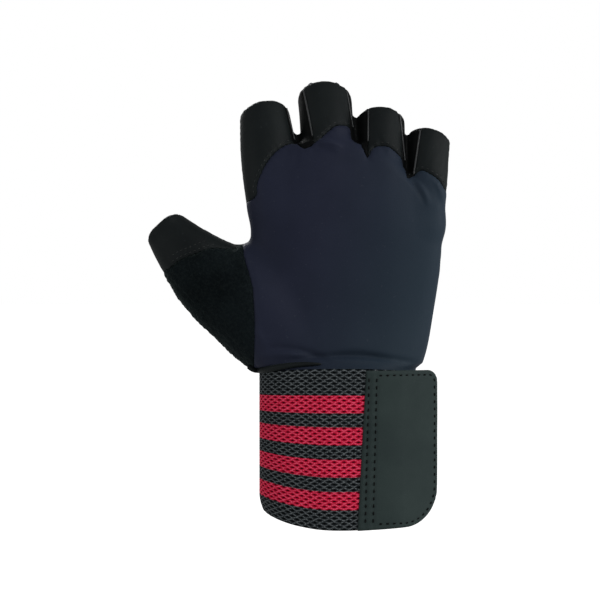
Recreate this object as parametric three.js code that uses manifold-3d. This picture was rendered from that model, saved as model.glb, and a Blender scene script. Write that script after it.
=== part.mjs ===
// A weightlifting glove for the right hand: open fingertips, padded palm, wide elastic wrist wrap.
// Millimetres. The origin is the middle of the wrist opening, level with the wrap's lower edge.
// +Z runs up to the fingers, +Y out of the palm, -Y out of the back of the hand, -X to the thumb.
// The hand is shaped flat first, then the thumb drops and the fingers curl toward the palm.

import * as THREE from 'three';
import { mergeVertices } from 'three/addons/utils/BufferGeometryUtils.js';
import Module from 'manifold-3d';

const wasm = await Module();
wasm.setup();

// Driving dimensions.
const wristWidth = 72;
const wristDepth = 46;
const wrapHeight = 75;
const wrapThickness = 1.8;
const palmWidth = 91;
const palmDepth = 34;
const palmLength = 107;
const thumbLength = 81;
const thumbWidth = 44;
const thumbTilt = (44 * Math.PI) / 180;
const wall = 1.5;
const padThickness = 1.8;
const tabThickness = 1.6;
const hookThickness = 1.0;
const gap = 0.3;

// The wrap's lower edge rises to the sides, its upper edge drops a little, and the cuff stays hidden.
const lowerEdgeRise = 7;
const upperEdgeDrop = 1.9;
const cuffLower = lowerEdgeRise + 3;

// Fingers curl on a wide arc, and the pull tab beyond the middle finger's rim on a tight one.
const curlRadius = 120;
const tabCurlRadius = 31;
const curlStep = 11;
const pullTabLength = 24.5;
const pullTabHalf = 10.6;
const pullTabTipHalf = 7.2;

// Facets round each oval.
const bodySides = 44;
const fingerSides = 20;
const thumbSides = 24;

// Tables hold shares: across the palm's width, through its depth, and up from the wrap's upper edge.
const across = (share) => share * palmWidth;
const through = (share) => share * palmDepth;
const up = (share) => wrapHeight + share * palmLength;
const curlStart = up(0.69);

// The knuckle line falls away either side of the middle finger, and the thumb drops toward the palm.
const knuckleArch = 1 / palmWidth;
const knucklePeak = across(-0.066);
const thumbDrop = 0.2 / palmWidth;
const thumbDropFrom = across(-0.46);

// Palm rows: height, left, right, back, front, share of the knuckle arch.
const palmRows = [
  [0.011, 0.429, 0.429, 0.618, 0.647, 0],
  [0.09, 0.45, 0.455, 0.559, 0.632, 0],
  [0.224, 0.465, 0.484, 0.5, 0.6, 0],
  [0.411, 0.468, 0.517, 0.471, 0.541, 0],
  [0.626, 0.467, 0.53, 0.45, 0.5, 0.3],
  [0.807, 0.47, 0.541, 0.42, 0.432, 0.8],
  [1, 0.47, 0.545, 0.365, 0.37, 1],
];
const palmLevels = [0.011, 0.09, 0.224, 0.411, 0.52, 0.626, 0.72, 0.807, 0.9, 1];

// Finger rows: height, centre, half width, half depth. A rim leans along X by its slope.
const fingers = {
  index: {
    rimSlope: 0.14,
    rows: [
      [0.598, -0.324, 0.1385, 0.368],
      [0.879, -0.3615, 0.152, 0.347],
      [1.16, -0.397, 0.131, 0.312],
    ],
  },
  middle: {
    rimSlope: 0,
    rows: [
      [0.598, -0.058, 0.134, 0.368],
      [0.897, -0.058, 0.138, 0.353],
      [1.252, -0.081, 0.142, 0.324],
    ],
  },
  ring: {
    rimSlope: -0.06,
    rows: [
      [0.579, 0.203, 0.123, 0.353],
      [0.86, 0.221, 0.12, 0.338],
      [1.134, 0.2195, 0.122, 0.306],
    ],
  },
  little: {
    rimSlope: -0.2,
    rows: [
      [0.542, 0.429, 0.11, 0.324],
      [0.832, 0.457, 0.104, 0.3],
      [1.039, 0.4715, 0.111, 0.271],
    ],
  },
};
const fingerLevels = [0, 0.16, 0.32, 0.46, 0.6, 0.74, 0.88, 1];
const curlEnd = up(fingers.middle.rows[2][0]);

// Thumb rows: share of its length, outer edge, inner edge, half depth.
const thumbRoot = [across(-0.287), up(0.0673)];
const thumbRows = [
  [0, -0.364, 0.43, 0.5],
  [0.146, -0.42, 0.525, 0.53],
  [0.317, -0.435, 0.6, 0.5],
  [0.488, -0.45, 0.6, 0.456],
  [0.605, -0.44, 0.52, 0.415],
  [0.669, -0.428, 0.415, 0.39],
  [0.84, -0.35, 0.3, 0.335],
  [1, -0.26, 0.225, 0.279],
];
const thumbLevels = [0, 0.146, 0.317, 0.42, 0.52, 0.605, 0.669, 0.76, 0.88, 1];
const thumbRimSlope = -0.03;
const thumbRimLift = 0.45;

// Seams of the back, as shares across and up.
const knuckleSeam = [
  [-0.7, 0.7], [-0.459, 0.738], [-0.433, 0.801], [-0.396, 0.867], [-0.343, 0.925], [-0.278, 0.966],
  [-0.231, 0.978], [-0.193, 0.946], [-0.137, 0.963], [-0.076, 1.008], [-0.023, 1.042], [0.031, 1.05],
  [0.079, 1.037], [0.115, 0.958], [0.142, 0.904], [0.168, 0.949], [0.232, 0.958], [0.286, 0.937],
  [0.327, 0.908], [0.344, 0.867], [0.352, 0.826], [0.413, 0.858], [0.466, 0.842], [0.52, 0.812],
  [0.555, 0.78], [0.7, 0.72],
];
const fingerSplits = [[-0.193, 0.946], [0.124, 0.94], [0.35, 0.835]];
const thumbSeam = [
  [-0.52, 0.66], [-0.501, 0.505], [-0.47, 0.414], [-0.449, 0.326], [-0.443, 0.143], [-0.449, 0],
  [-0.449, -0.1],
];
const thumbTipSeam = [
  [-1.15, 0.39], [-0.929, 0.423], [-0.832, 0.473], [-0.757, 0.5], [-0.673, 0.527], [-0.57, 0.532],
  [-0.535, 0.56], [-0.53, 0.9],
];

// The towelling panel turns over the thumb's outer edge: share along the thumb, share across it.
const wipeTurn = [[-0.1, -0.3], [0.317, -0.3], [0.488, -0.315], [0.659, -0.3], [0.83, -0.245]];

// Between two fingers: where the crotch is across, its height, and the height up to which they touch.
const crotches = {
  index_middle: [-0.203, 0.985, 1.03],
  middle_ring: [0.089, 0.98, 1.11],
  ring_little: [0.351, 0.845, 1.025],
};
const gussetHalf = through(0.182);
const gussetBackReach = through(0.27);
const webHalf = through(0.088);
const gussetNotchHalf = across(0.055);
const gussetNotchDepth = 0.112 * palmLength;

// Pads on the palm, as closed outlines.
const pads = {
  knuckle_pad: [
    [0.495, 0.66], [0.495, 0.695], [0.34, 0.728], [0.151, 0.771], [-0.096, 0.794], [-0.336, 0.801],
    [-0.388, 0.7], [-0.173, 0.59], [0.079, 0.546], [0.322, 0.532], [0.475, 0.57],
  ],
  thumb_pad: [
    [-0.378, 0.539], [-0.398, 0.464], [-0.351, 0.349], [-0.262, 0.209], [-0.188, 0.087], [-0.11, 0.022],
    [0.132, 0.043], [0.143, 0.168], [0.124, 0.318], [0.032, 0.416], [-0.126, 0.484], [-0.281, 0.533],
  ],
  heel_pad: [
    [0.56, 0.44], [0.425, 0.429], [0.325, 0.389], [0.27, 0.308], [0.244, 0.203], [0.24, 0.08],
    [0.416, 0.062], [0.56, 0.1],
  ],
};

// The wrap: a band once round the cuff, rising over its own start, then the closing tab.
const bandStart = 0.042 * wristWidth;
const bandRise = wrapThickness + gap;
const bandSteps = 76;
const tabStart = 0.128 * wristWidth;
const tabLeavesAt = 0.389 * wristWidth;
const tabReach = 0.628 * wristWidth;
const tabUpperCorner = 5.5;
const tabLowerCorner = 19;
const tabShoulder = 0.8;
const tabSag = 1.2;
const hookInset = 3;
const wristPower = 2.3;
const far = 500;

// Makes a solid from a closed geometry.
function toSolid(geometry) {
  geometry.deleteAttribute('normal');
  geometry.deleteAttribute('uv');
  const merged = mergeVertices(geometry, 1e-5);
  return new wasm.Manifold(
    new wasm.Mesh({
      numProp: 3,
      vertProperties: new Float32Array(merged.attributes.position.array),
      triVerts: new Uint32Array(merged.index.array),
    }),
  );
}

// Reads a table between its rows along a smooth curve through them.
function readTable(rows, at) {
  const last = rows.length - 1;
  const slope = (row, column) => {
    const low = rows[Math.max(row - 1, 0)];
    const high = rows[Math.min(row + 1, last)];
    return (high[column] - low[column]) / (high[0] - low[0]);
  };
  let row = 0;
  while (row < last - 1 && at > rows[row + 1][0]) row += 1;
  const step = rows[row + 1][0] - rows[row][0];
  const t = Math.min(Math.max((at - rows[row][0]) / step, 0), 1);
  const keep = 2 * t ** 3 - 3 * t ** 2 + 1;
  return rows[0].slice(1).map((_, index) => {
    const column = index + 1;
    const rise = (t ** 3 - 2 * t ** 2 + t) * slope(row, column) + (t ** 3 - t ** 2) * slope(row + 1, column);
    return keep * rows[row][column] + (1 - keep) * rows[row + 1][column] + rise * step;
  });
}

// One oval of points, counter-clockwise from +X, with a half size to each of its four sides.
function oval(sides, left, right, back, front, power) {
  return Array.from({ length: sides }, (_, index) => {
    const angle = (index / sides) * 2 * Math.PI;
    const c = Math.cos(angle);
    const s = Math.sin(angle);
    const x = (c < 0 ? -left : right) * Math.abs(c) ** (2 / power);
    const y = (s < 0 ? -back : front) * Math.abs(s) ** (2 / power);
    return [x, y];
  });
}

// Joins rings of points into a closed skin. Each end is closed by strips from front to back.
function loft(rings) {
  const sides = rings[0].length;
  const indices = [];
  for (let level = 0; level < rings.length - 1; level += 1) {
    for (let side = 0; side < sides; side += 1) {
      const next = (side + 1) % sides;
      const a = level * sides + side;
      const b = level * sides + next;
      indices.push(a, b, b + sides, a, b + sides, a + sides);
    }
  }
  const close = (offset, upward) => {
    const add = (p, q, r) => indices.push(offset + p, offset + (upward ? q : r), offset + (upward ? r : q));
    for (let side = 0; side < sides / 2; side += 1) {
      const mirror = (sides - side) % sides;
      const nextMirror = sides - side - 1;
      if (side !== mirror) add(mirror, side, side + 1);
      if (side + 1 !== nextMirror) add(mirror, side + 1, nextMirror);
    }
  };
  close(0, false);
  close((rings.length - 1) * sides, true);
  const geometry = new THREE.BufferGeometry();
  geometry.setAttribute('position', new THREE.Float32BufferAttribute(rings.flat(2), 3));
  geometry.setIndex(indices);
  return geometry;
}

// The cuff and palm, grown outward by a distance.
function palmSolid(grow) {
  const halfWidth = wristWidth / 2 + grow;
  const halfDepth = wristDepth / 2 + grow;
  const lower = grow < 0 ? -cuffLower : cuffLower;
  const cuff = oval(bodySides, halfWidth, halfWidth, halfDepth, halfDepth, wristPower);
  const cuffRings = [lower, wrapHeight + 0.4 - grow].map((z) => cuff.map(([x, y]) => [x, y, z]));
  const palmRings = palmLevels.map((level) => {
    const [left, right, back, front, archShare] = readTable(palmRows, level);
    const power = 2.4 + 0.6 * Math.min(level * 1.5, 1);
    const ring = oval(
      bodySides,
      across(left) + grow,
      across(right) + grow,
      through(back) + grow,
      through(front) + grow,
      power,
    );
    const shift = level === palmLevels[0] ? -grow : level === 1 ? grow : 0;
    return ring.map(([x, y]) => [x, y, up(level) + shift - archShare * knuckleArch * (x - knucklePeak) ** 2]);
  });
  return toSolid(loft([...cuffRings, ...palmRings]));
}

// One finger stall, grown outward by a distance and carried on past its rim by a length.
function fingerSolid(finger, grow, beyond = 0) {
  const first = finger.rows[0][0];
  const rim = finger.rows[2][0];
  const ringAt = (share, extra) => {
    const [centre, halfWidth, halfDepth] = readTable(finger.rows, first + (rim - first) * share);
    const wide = across(halfWidth) + grow;
    const deep = through(halfDepth) + grow;
    const level = up(first + (rim - first) * share) + extra;
    return oval(fingerSides, wide, wide, deep, deep, 2.3).map(([x, y]) => [
      across(centre) + x,
      y,
      level + finger.rimSlope * share ** 3 * x,
    ]);
  };
  const rings = fingerLevels.map((share) => ringAt(share, 0));
  const steps = Math.ceil(beyond / 5);
  for (let step = 1; step <= steps; step += 1) rings.push(ringAt(1, (beyond * step) / steps));
  return toSolid(loft(rings));
}

// A point of the thumb, from its length along, breadth across and depth.
function onThumb(along, breadth) {
  return [
    thumbRoot[0] - Math.sin(thumbTilt) * along + Math.cos(thumbTilt) * breadth,
    thumbRoot[1] + Math.cos(thumbTilt) * along + Math.sin(thumbTilt) * breadth,
  ];
}

// The thumb stall, grown outward by a distance and cut level above the wrap.
function thumbSolid(grow, beyond = 0) {
  const ringAt = (share, extra) => {
    const [outer, inner, halfDepth] = readTable(thumbRows, share);
    const centre = ((outer + inner) / 2) * thumbWidth;
    const wide = ((inner - outer) / 2) * thumbWidth + grow;
    const deep = through(halfDepth) + grow;
    return oval(thumbSides, wide, wide, deep, deep, 2.3).map(([breadth, y]) => {
      const lean = share ** 3 * (thumbRimSlope * breadth - thumbRimLift * y);
      const [x, z] = onThumb(share * thumbLength + extra + lean, centre + breadth);
      return [x, y, z];
    });
  };
  const rings = thumbLevels.map((share) => ringAt(share, 0));
  if (beyond > 0) rings.push(ringAt(1, beyond));
  return toSolid(loft(rings)).intersect(block(-far, far, wrapHeight + 0.8 - grow, far, -far, far));
}

// A short web joins two fingers where they touch.
function webSolid([centre, crotch, top], grow) {
  const half = across(0.06);
  const x = across(centre);
  return block(x - half, x + half, up(crotch - 0.19), up(top), -webHalf - grow, webHalf + grow);
}

// The whole hand, grown outward by a distance. Its hollow runs on past every rim.
function handSolid(grow) {
  const beyond = grow < 0 ? 10 : 0;
  let hand = palmSolid(grow).add(thumbSolid(grow, beyond));
  if (grow >= 0) for (const crotch of Object.values(crotches)) hand = hand.add(webSolid(crotch, grow));
  for (const finger of Object.values(fingers)) hand = hand.add(fingerSolid(finger, grow, beyond));
  return hand;
}

// A solid with an outline in X and Z, running through Y from back to front.
function prism(outline, back, front) {
  const shape = new THREE.Shape(outline.map(([x, z]) => new THREE.Vector2(x, z)));
  const geometry = new THREE.ExtrudeGeometry(shape, { depth: front - back, bevelEnabled: false });
  geometry.rotateX(Math.PI / 2);
  geometry.translate(0, front, 0);
  return toSolid(geometry);
}

// A plain block between limits in X, Z and Y.
function block(left, right, low, high, back, front) {
  return prism([[left, low], [right, low], [right, high], [left, high]], back, front);
}

// A thin cut along a line of points in X and Z, through the whole depth.
function seamCut(line) {
  const offset = (side) => line.map(([x, z], index) => {
    const before = line[Math.max(index - 1, 0)];
    const after = line[Math.min(index + 1, line.length - 1)];
    const run = Math.hypot(after[0] - before[0], after[1] - before[1]);
    const reach = (side * gap) / 2;
    return [x - (reach * (after[1] - before[1])) / run, z + (reach * (after[0] - before[0])) / run];
  });
  return prism([...offset(1), ...offset(-1).reverse()], -far, far);
}

// A smooth closed outline through points given in shares.
function smoothOutline(points, count) {
  const curve = new THREE.CatmullRomCurve3(
    points.map(([x, z]) => new THREE.Vector3(across(x), 0, up(z))),
    true,
  );
  return curve.getSpacedPoints(count).slice(0, -1).map((point) => [point.x, point.z]);
}

// Keeps the largest body of a solid and drops crumbs left by the cuts.
function largest(solid) {
  const bodies = solid.decompose();
  return bodies.reduce((best, body) => (body.volume() > best.volume() ? body : best));
}

// Lowers the thumb toward the palm, then curls what lies above the knuckles.
function bend([x, y, z]) {
  const reach = Math.max(thumbDropFrom - x, 0);
  const dropped = y + thumbDrop * reach * reach;
  if (z <= curlStart) return [x, dropped, z];
  const along = Math.min(z, curlEnd) - curlStart;
  const angle = along / curlRadius;
  const extra = Math.max(z - curlEnd, 0);
  const turned = angle + extra / tabCurlRadius;
  const wideY = curlRadius * (1 - Math.cos(angle));
  const wideZ = curlRadius * Math.sin(angle);
  const tightY = tabCurlRadius * (Math.cos(angle) - Math.cos(turned));
  const tightZ = tabCurlRadius * (Math.sin(turned) - Math.sin(angle));
  const spineY = wideY + tightY;
  const spineZ = curlStart + wideZ + tightZ;
  return [x, spineY + dropped * Math.cos(turned), spineZ - dropped * Math.sin(turned)];
}

// Halves every edge that climbs too far above the knuckles, so that the curl bends it smoothly.
function refine(points, faces) {
  const middles = new Map();
  const middle = (a, b) => {
    const [p, q] = [points[a], points[b]];
    if (Math.max(p[2], q[2]) <= curlStart || Math.abs(p[2] - q[2]) <= curlStep) return [];
    const key = a < b ? `${a}_${b}` : `${b}_${a}`;
    if (!middles.has(key)) middles.set(key, points.push(p.map((value, axis) => (value + q[axis]) / 2)) - 1);
    return [middles.get(key)];
  };
  const finer = [];
  for (const [a, b, c] of faces) {
    const around = [...middle(a, b), b, ...middle(b, c), c, ...middle(c, a), a];
    const first = around.findIndex((vertex) => vertex !== a && vertex !== b && vertex !== c);
    if (first < 0) {
      finer.push([a, b, c]);
      continue;
    }
    const turned = [...around.slice(first), ...around.slice(0, first)];
    for (let index = 1; index < turned.length - 1; index += 1) {
      finer.push([turned[0], turned[index], turned[index + 1]]);
    }
  }
  return middles.size ? refine(points, finer) : finer;
}

// Gives a solid's surface as a geometry, bent into the hand's pose.
function toGeometry(solid) {
  const mesh = solid.getMesh();
  const points = [];
  for (let vertex = 0; vertex < mesh.numVert; vertex += 1) {
    const start = vertex * mesh.numProp;
    points.push(Array.from(mesh.vertProperties.slice(start, start + 3)));
  }
  const faces = [];
  for (let face = 0; face < mesh.numTri; face += 1) {
    faces.push(Array.from(mesh.triVerts.slice(face * 3, face * 3 + 3)));
  }
  const finer = refine(points, faces);
  const geometry = new THREE.BufferGeometry();
  geometry.setAttribute('position', new THREE.Float32BufferAttribute(points.flatMap(bend), 3));
  geometry.setIndex(finer.flat());
  geometry.computeVertexNormals();
  return geometry;
}

// A strip standing on edge along a path in X and Y, thickened to the right of its direction.
function ribbon(path, thickness, lowAt, highAt) {
  const positions = [];
  path.forEach(([x, y], index) => {
    const before = path[Math.max(index - 1, 0)];
    const after = path[Math.min(index + 1, path.length - 1)];
    const run = Math.hypot(after[0] - before[0], after[1] - before[1]);
    const outX = x + (thickness * (after[1] - before[1])) / run;
    const outY = y - (thickness * (after[0] - before[0])) / run;
    const low = lowAt(index);
    const high = highAt(index);
    positions.push(x, y, low, outX, outY, low, outX, outY, high, x, y, high);
  });
  const indices = [];
  const quad = (a, b, c, d) => indices.push(a, b, c, a, c, d);
  for (let index = 0; index < path.length - 1; index += 1) {
    const near = index * 4;
    const far = near + 4;
    for (let corner = 0; corner < 4; corner += 1) {
      const next = (corner + 1) % 4;
      quad(near + corner, far + corner, far + next, near + next);
    }
  }
  const end = (path.length - 1) * 4;
  quad(0, 1, 2, 3);
  quad(end, end + 3, end + 2, end + 1);
  const geometry = new THREE.BufferGeometry();
  geometry.setAttribute('position', new THREE.Float32BufferAttribute(positions, 3));
  geometry.setIndex(indices);
  geometry.computeVertexNormals();
  return geometry;
}

// A point on the wrist's oval at a distance outside the cuff, and the angle of a point at some X.
function onWrist(angle, offset) {
  const c = Math.cos(angle);
  const s = Math.sin(angle);
  const x = (wristWidth / 2 + offset) * Math.sign(c) * Math.abs(c) ** (2 / wristPower);
  const y = (wristDepth / 2 + offset) * Math.sign(s) * Math.abs(s) ** (2 / wristPower);
  return [x, y];
}
const angleAt = (x, offset) => {
  const share = Math.abs(x) / (wristWidth / 2 + offset);
  return -Math.PI / 2 + Math.sign(x) * Math.asin(share ** (wristPower / 2));
};

// The skin of the hand, and the strips between its fingers.
const skin = handSolid(0).subtract(handSolid(-wall));
const gussetRegion = (name, grow) => {
  const [lower, upper] = name.split('_').map((finger) => fingers[finger]);
  const [x, z] = [across(crotches[name][0]), up(crotches[name][1])];
  const left = across(lower.rows[2][1] * 0.5 + lower.rows[1][1] * 0.5);
  const right = across(upper.rows[2][1] * 0.5 + upper.rows[1][1] * 0.5);
  const half = gussetHalf + grow;
  const strip = (from, to, reach) => block(from, to, z - half, far, -reach, half);
  const between = strip(left, x, half).add(strip(x, right, gussetBackReach + grow));
  const notchHalf = gussetNotchHalf + grow;
  const notch = prism(
    [
      [x, z - gussetNotchDepth - grow * 2.5],
      [x + notchHalf, z + 2],
      [x + notchHalf, z + 8],
      [x - notchHalf, z + 8],
      [x - notchHalf, z + 2],
    ],
    0,
    far,
  );
  return between.add(notch);
};
const gussets = {};
let shell = skin;
for (const name of Object.keys(crotches)) {
  gussets[`gusset_${name}`] = largest(skin.intersect(gussetRegion(name, 0)));
  shell = shell.subtract(gussetRegion(name, gap));
}

// The back and palm halves. The towelling runs over the thumb's edge onto the palm side.
const turnLine = (grow) =>
  wipeTurn.map(([along, breadth]) => onThumb(along * thumbLength, breadth * thumbWidth + grow));
const turnRegion = (grow) => {
  const tip = onThumb(wipeTurn[wipeTurn.length - 1][0] * thumbLength, -far);
  const foot = [across(thumbSeam[5][0]) - gap / 2 + grow, -far];
  const aboveWrap = block(-far, far, wrapHeight + 0.5, far, -far, far);
  return prism([...turnLine(grow), tip, foot], -far, far).intersect(aboveWrap);
};
const backSide = block(-far, far, -far, far, -far, -gap / 2);
const palmSide = block(-far, far, -far, far, gap / 2, far);
const backHalf = shell.intersect(backSide).add(shell.intersect(turnRegion(0)));
const palmHalf = shell.intersect(palmSide).subtract(turnRegion(gap));

// Cuts the back half along its seams.
const toPlane = (points) => points.map(([x, z]) => [across(x), up(z)]);
const seams = [knuckleSeam, thumbSeam, thumbTipSeam].map(toPlane);
const splits = fingerSplits.map(([x, z]) => [[across(x), up(z - 0.02)], [across(x), up(2)]]);
let back = backHalf;
for (const line of [...seams, ...splits]) back = back.subtract(seamCut(line));
const fingerZone = prism([...seams[0], [across(0.7), far], [across(-0.7), far]], -far, far);
const thumbZone = prism(
  [
    ...seams[1],
    [-far, up(-0.1)],
    [-far, up(1.3)],
    [across(-0.58), up(1.3)],
    [across(-0.58), up(0.7)],
  ],
  -far,
  far,
);
const tipZone = prism([...seams[2], [-far, up(0.9)]], -far, far);
const column = (left, right) => block(left, right, -far, far, -far, far);
const splitX = fingerSplits.map(([x]) => across(x));
const fingerBacks = back.intersect(fingerZone).subtract(thumbZone);
const thumbBack = back.intersect(thumbZone);

// The pull tab carries the middle finger's palm side on past its rim. Its cloth lies inside the
// curl's middle line, so the line runs on further than the cloth is long.
const [, middleCentre, , middleHalfDepth] = fingers.middle.rows[2];
const tabLine = (pullTabLength * tabCurlRadius) / (tabCurlRadius - through(middleHalfDepth));
const tabHollow = fingerSolid(fingers.middle, -wall, tabLine + 4);
const tabTube = fingerSolid(fingers.middle, 0, tabLine).subtract(tabHollow);
const tabCentre = across(middleCentre);
const tabEnd = Array.from({ length: 13 }, (_, step) => {
  const angle = (step / 12) * Math.PI;
  const round = 1.5 * pullTabTipHalf;
  return [tabCentre + pullTabTipHalf * Math.cos(angle), curlEnd + tabLine - 1 - round * (1 - Math.sin(angle))];
});
const tabSide = (side, z) => [tabCentre + side * pullTabHalf, z];
const tabFoot = curlEnd - 4;
const tabSides = [tabSide(-1, curlEnd), tabSide(-1, tabFoot), tabSide(1, tabFoot), tabSide(1, curlEnd)];
const pullTab = tabTube.intersect(prism([...tabEnd, ...tabSides], gussetHalf + gap, far));

// The grip pads lie on the palm.
const padLayer = handSolid(gap + padThickness).subtract(handSolid(gap));
const padSolid = (name) => padLayer.intersect(prism(smoothOutline(pads[name], 44), through(0.206), far));

// The band's path: once round the cuff, lifting over its own start on the back.
const bandFrom = angleAt(bandStart, 0);
const bandTo = angleAt(tabStart - gap, bandRise) + 2 * Math.PI;
const bandAngles = Array.from(
  { length: bandSteps + 1 },
  (_, step) => bandFrom + ((bandTo - bandFrom) * step) / bandSteps,
);
const liftAt = (angle) => {
  const t = Math.min(Math.max((angle - (1.5 * Math.PI - 0.45)) / 0.42, 0), 1);
  return bandRise * t * t * (3 - 2 * t);
};
const bandPath = bandAngles.map((angle) => onWrist(angle, gap + 0.1 + liftAt(angle)));
const bandLow = (index) => lowerEdgeRise * Math.cos(bandAngles[index]) ** 2;
const bandHigh = (index) => wrapHeight - upperEdgeDrop * Math.cos(bandAngles[index]) ** 2;

// The tab's path follows the wrist, then leaves it straight toward the little finger's side.
const tabOffset = gap + 0.1 + wrapThickness + gap + hookThickness + gap;
const tabFrom = angleAt(tabStart, tabOffset);
const tabLeave = angleAt(tabLeavesAt, tabOffset);
const tabPath = Array.from({ length: 10 }, (_, step) =>
  onWrist(tabFrom + ((tabLeave - tabFrom) * step) / 9, tabOffset),
);
const tabHeading = Math.atan2(tabPath[9][1] - tabPath[8][1], tabPath[9][0] - tabPath[8][0]) + 0.06;
const tabFree = (tabReach - tabPath[9][0]) / Math.cos(tabHeading);
const [leaveX, leaveY] = tabPath[9];
for (let step = 1; step <= 10; step += 1) {
  const run = tabFree * Math.sin((step / 10) * (Math.PI / 2));
  tabPath.push([leaveX + run * Math.cos(tabHeading), leaveY + run * Math.sin(tabHeading)]);
}
const runs = [0];
for (let index = 1; index < tabPath.length; index += 1) {
  const [[x, y], [lastX, lastY]] = [tabPath[index], tabPath[index - 1]];
  runs.push(runs[index - 1] + Math.hypot(x - lastX, y - lastY));
}
const tabRun = runs[runs.length - 1];
const corner = (radius, fromEnd) =>
  fromEnd < radius ? radius - Math.sqrt(radius ** 2 - (radius - fromEnd) ** 2) : 0;
const sagAt = (index) => tabSag * (runs[index] / tabRun) ** 2;
const tabLow = (index) => sagAt(index) + corner(tabLowerCorner, tabRun - runs[index]);
const tabHigh = (index) => wrapHeight - tabShoulder - corner(tabUpperCorner, tabRun - runs[index]);

// The hook patch lies under the tab, set in from its edges.
const hookPath = [];
const hookRuns = [];
tabPath.forEach(([x, y], index) => {
  const fromEnd = tabRun - runs[index];
  if (runs[index] < 2.5 || fromEnd < hookInset - 0.5) return;
  const before = tabPath[index - 1];
  const after = tabPath[index + 1];
  const run = Math.hypot(after[0] - before[0], after[1] - before[1]);
  const inward = gap + hookThickness;
  const inwardX = (inward * (after[1] - before[1])) / run;
  const inwardY = (inward * (after[0] - before[0])) / run;
  hookPath.push([x - inwardX, y + inwardY]);
  hookRuns.push(fromEnd);
});
const hookTop = wrapHeight - tabShoulder - hookInset;
const hookLow = (index) => tabSag + hookInset + corner(tabLowerCorner - hookInset, hookRuns[index] - 2);
const hookHigh = (index) => hookTop - corner(tabUpperCorner / 2, hookRuns[index] - 2);

// Colours of the pieces.
const finish = (color, roughness) => new THREE.MeshStandardMaterial({ color, roughness, metalness: 0 });
const navy = () => finish(0x1d2034, 0.75);
const black = () => finish(0x15191a, 0.8);
const palmBlack = () => finish(0x161b22, 0.85);
const towelling = () => finish(0x1a2220, 0.95);
const grip = () => finish(0x2a3036, 0.35);
const weave = () => finish(0x5c2a38, 0.9);
const tabGrey = () => finish(0x2b3333, 0.6);
const hook = () => finish(0x1f2626, 0.95);

const group = new THREE.Group();
function addMesh(name, geometry, material) {
  const mesh = new THREE.Mesh(geometry, material);
  mesh.name = name;
  group.add(mesh);
}
function addSolid(name, solid, material) {
  addMesh(name, toGeometry(largest(solid)), material);
}

addSolid('back_panel', back.subtract(fingerZone).subtract(thumbZone), navy());
addSolid('index_back', fingerBacks.intersect(column(-200, splitX[0])), black());
addSolid('middle_back', fingerBacks.intersect(column(splitX[0], splitX[1])), black());
addSolid('ring_back', fingerBacks.intersect(column(splitX[1], splitX[2])), black());
addSolid('little_back', fingerBacks.intersect(column(splitX[2], 200)), black());
addSolid('thumb_tip', thumbBack.intersect(tipZone), black());
addSolid('thumb_wipe', thumbBack.subtract(tipZone), towelling());
addSolid('palm_panel', palmHalf.add(pullTab), palmBlack());
for (const [name, solid] of Object.entries(gussets)) addSolid(name, solid, black());
for (const name of Object.keys(pads)) addSolid(name, padSolid(name), grip());
addMesh('wrist_band', ribbon(bandPath, wrapThickness, bandLow, bandHigh), weave());
addMesh('closure_tab', ribbon(tabPath, tabThickness, tabLow, tabHigh), tabGrey());
addMesh('hook_patch', ribbon(hookPath, hookThickness, hookLow, hookHigh), hook());

export default group;
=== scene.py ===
"""Looks of a weightlifting glove for the right hand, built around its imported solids.

Shapes are worked out in millimetres in the flat hand: +Z up to the fingers, +Y out of the palm,
-X to the thumb. Then the thumb drops and the fingers curl, as the solids do.
"""

import functools
import math

import bpy
import numpy as np
from bpy.props import FloatProperty, FloatVectorProperty, PointerProperty
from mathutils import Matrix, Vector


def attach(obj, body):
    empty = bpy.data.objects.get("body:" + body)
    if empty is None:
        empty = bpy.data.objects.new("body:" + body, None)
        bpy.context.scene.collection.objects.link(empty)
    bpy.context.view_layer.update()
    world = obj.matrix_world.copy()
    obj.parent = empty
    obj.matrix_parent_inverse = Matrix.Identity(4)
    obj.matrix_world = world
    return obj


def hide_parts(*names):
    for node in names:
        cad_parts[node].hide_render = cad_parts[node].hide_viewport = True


bl_info = {
    "name": "Weightlifting Glove",
    "version": (1, 0, 0),
    "blender": (4, 5, 0),
    "location": "View3D > Sidebar > Glove",
    "description": "Dresses the solids of a weightlifting glove",
    "category": "Object",
}

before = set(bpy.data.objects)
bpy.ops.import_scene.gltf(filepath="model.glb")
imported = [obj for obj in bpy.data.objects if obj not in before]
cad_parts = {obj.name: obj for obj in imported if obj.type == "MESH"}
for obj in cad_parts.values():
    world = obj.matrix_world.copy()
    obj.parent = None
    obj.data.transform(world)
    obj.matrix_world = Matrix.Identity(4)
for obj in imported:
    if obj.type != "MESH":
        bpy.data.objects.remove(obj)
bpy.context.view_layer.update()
MM = 0.001

# Which face of the hand, as the sign of Y.
BACK = -1
PALM = 1

# The hand's driving sizes in millimetres, as its solids have them.
WRIST = (36.0, 23.0)
WRIST_POWER = 2.3
WRAP_HEIGHT = 75.0
PALM_WIDTH = 91.0
PALM_DEPTH = 34.0
PALM_LENGTH = 107.0
THUMB_LENGTH = 81.0
THUMB_WIDTH = 44.0
THUMB_TILT = math.radians(44)
CURL_START = WRAP_HEIGHT + 0.69 * PALM_LENGTH
CURL_END = WRAP_HEIGHT + 1.252 * PALM_LENGTH
CURL_RADIUS = 120.0
TAB_CURL_RADIUS = 31.0
KNUCKLE_PEAK = -0.066 * PALM_WIDTH
THUMB_DROP = 0.2 / PALM_WIDTH
THUMB_DROP_FROM = -0.46 * PALM_WIDTH
GUSSET_HALF = 0.182 * PALM_DEPTH

# Exponents of the hand's ovals: the palm's at the wrap, what it gains and by which share of its length, and
# the fingers'.
PALM_POWER = 2.4
PALM_POWER_GAIN = 0.6
PALM_POWER_FULL = 2 / 3
FINGER_POWER = 2.3

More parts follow.
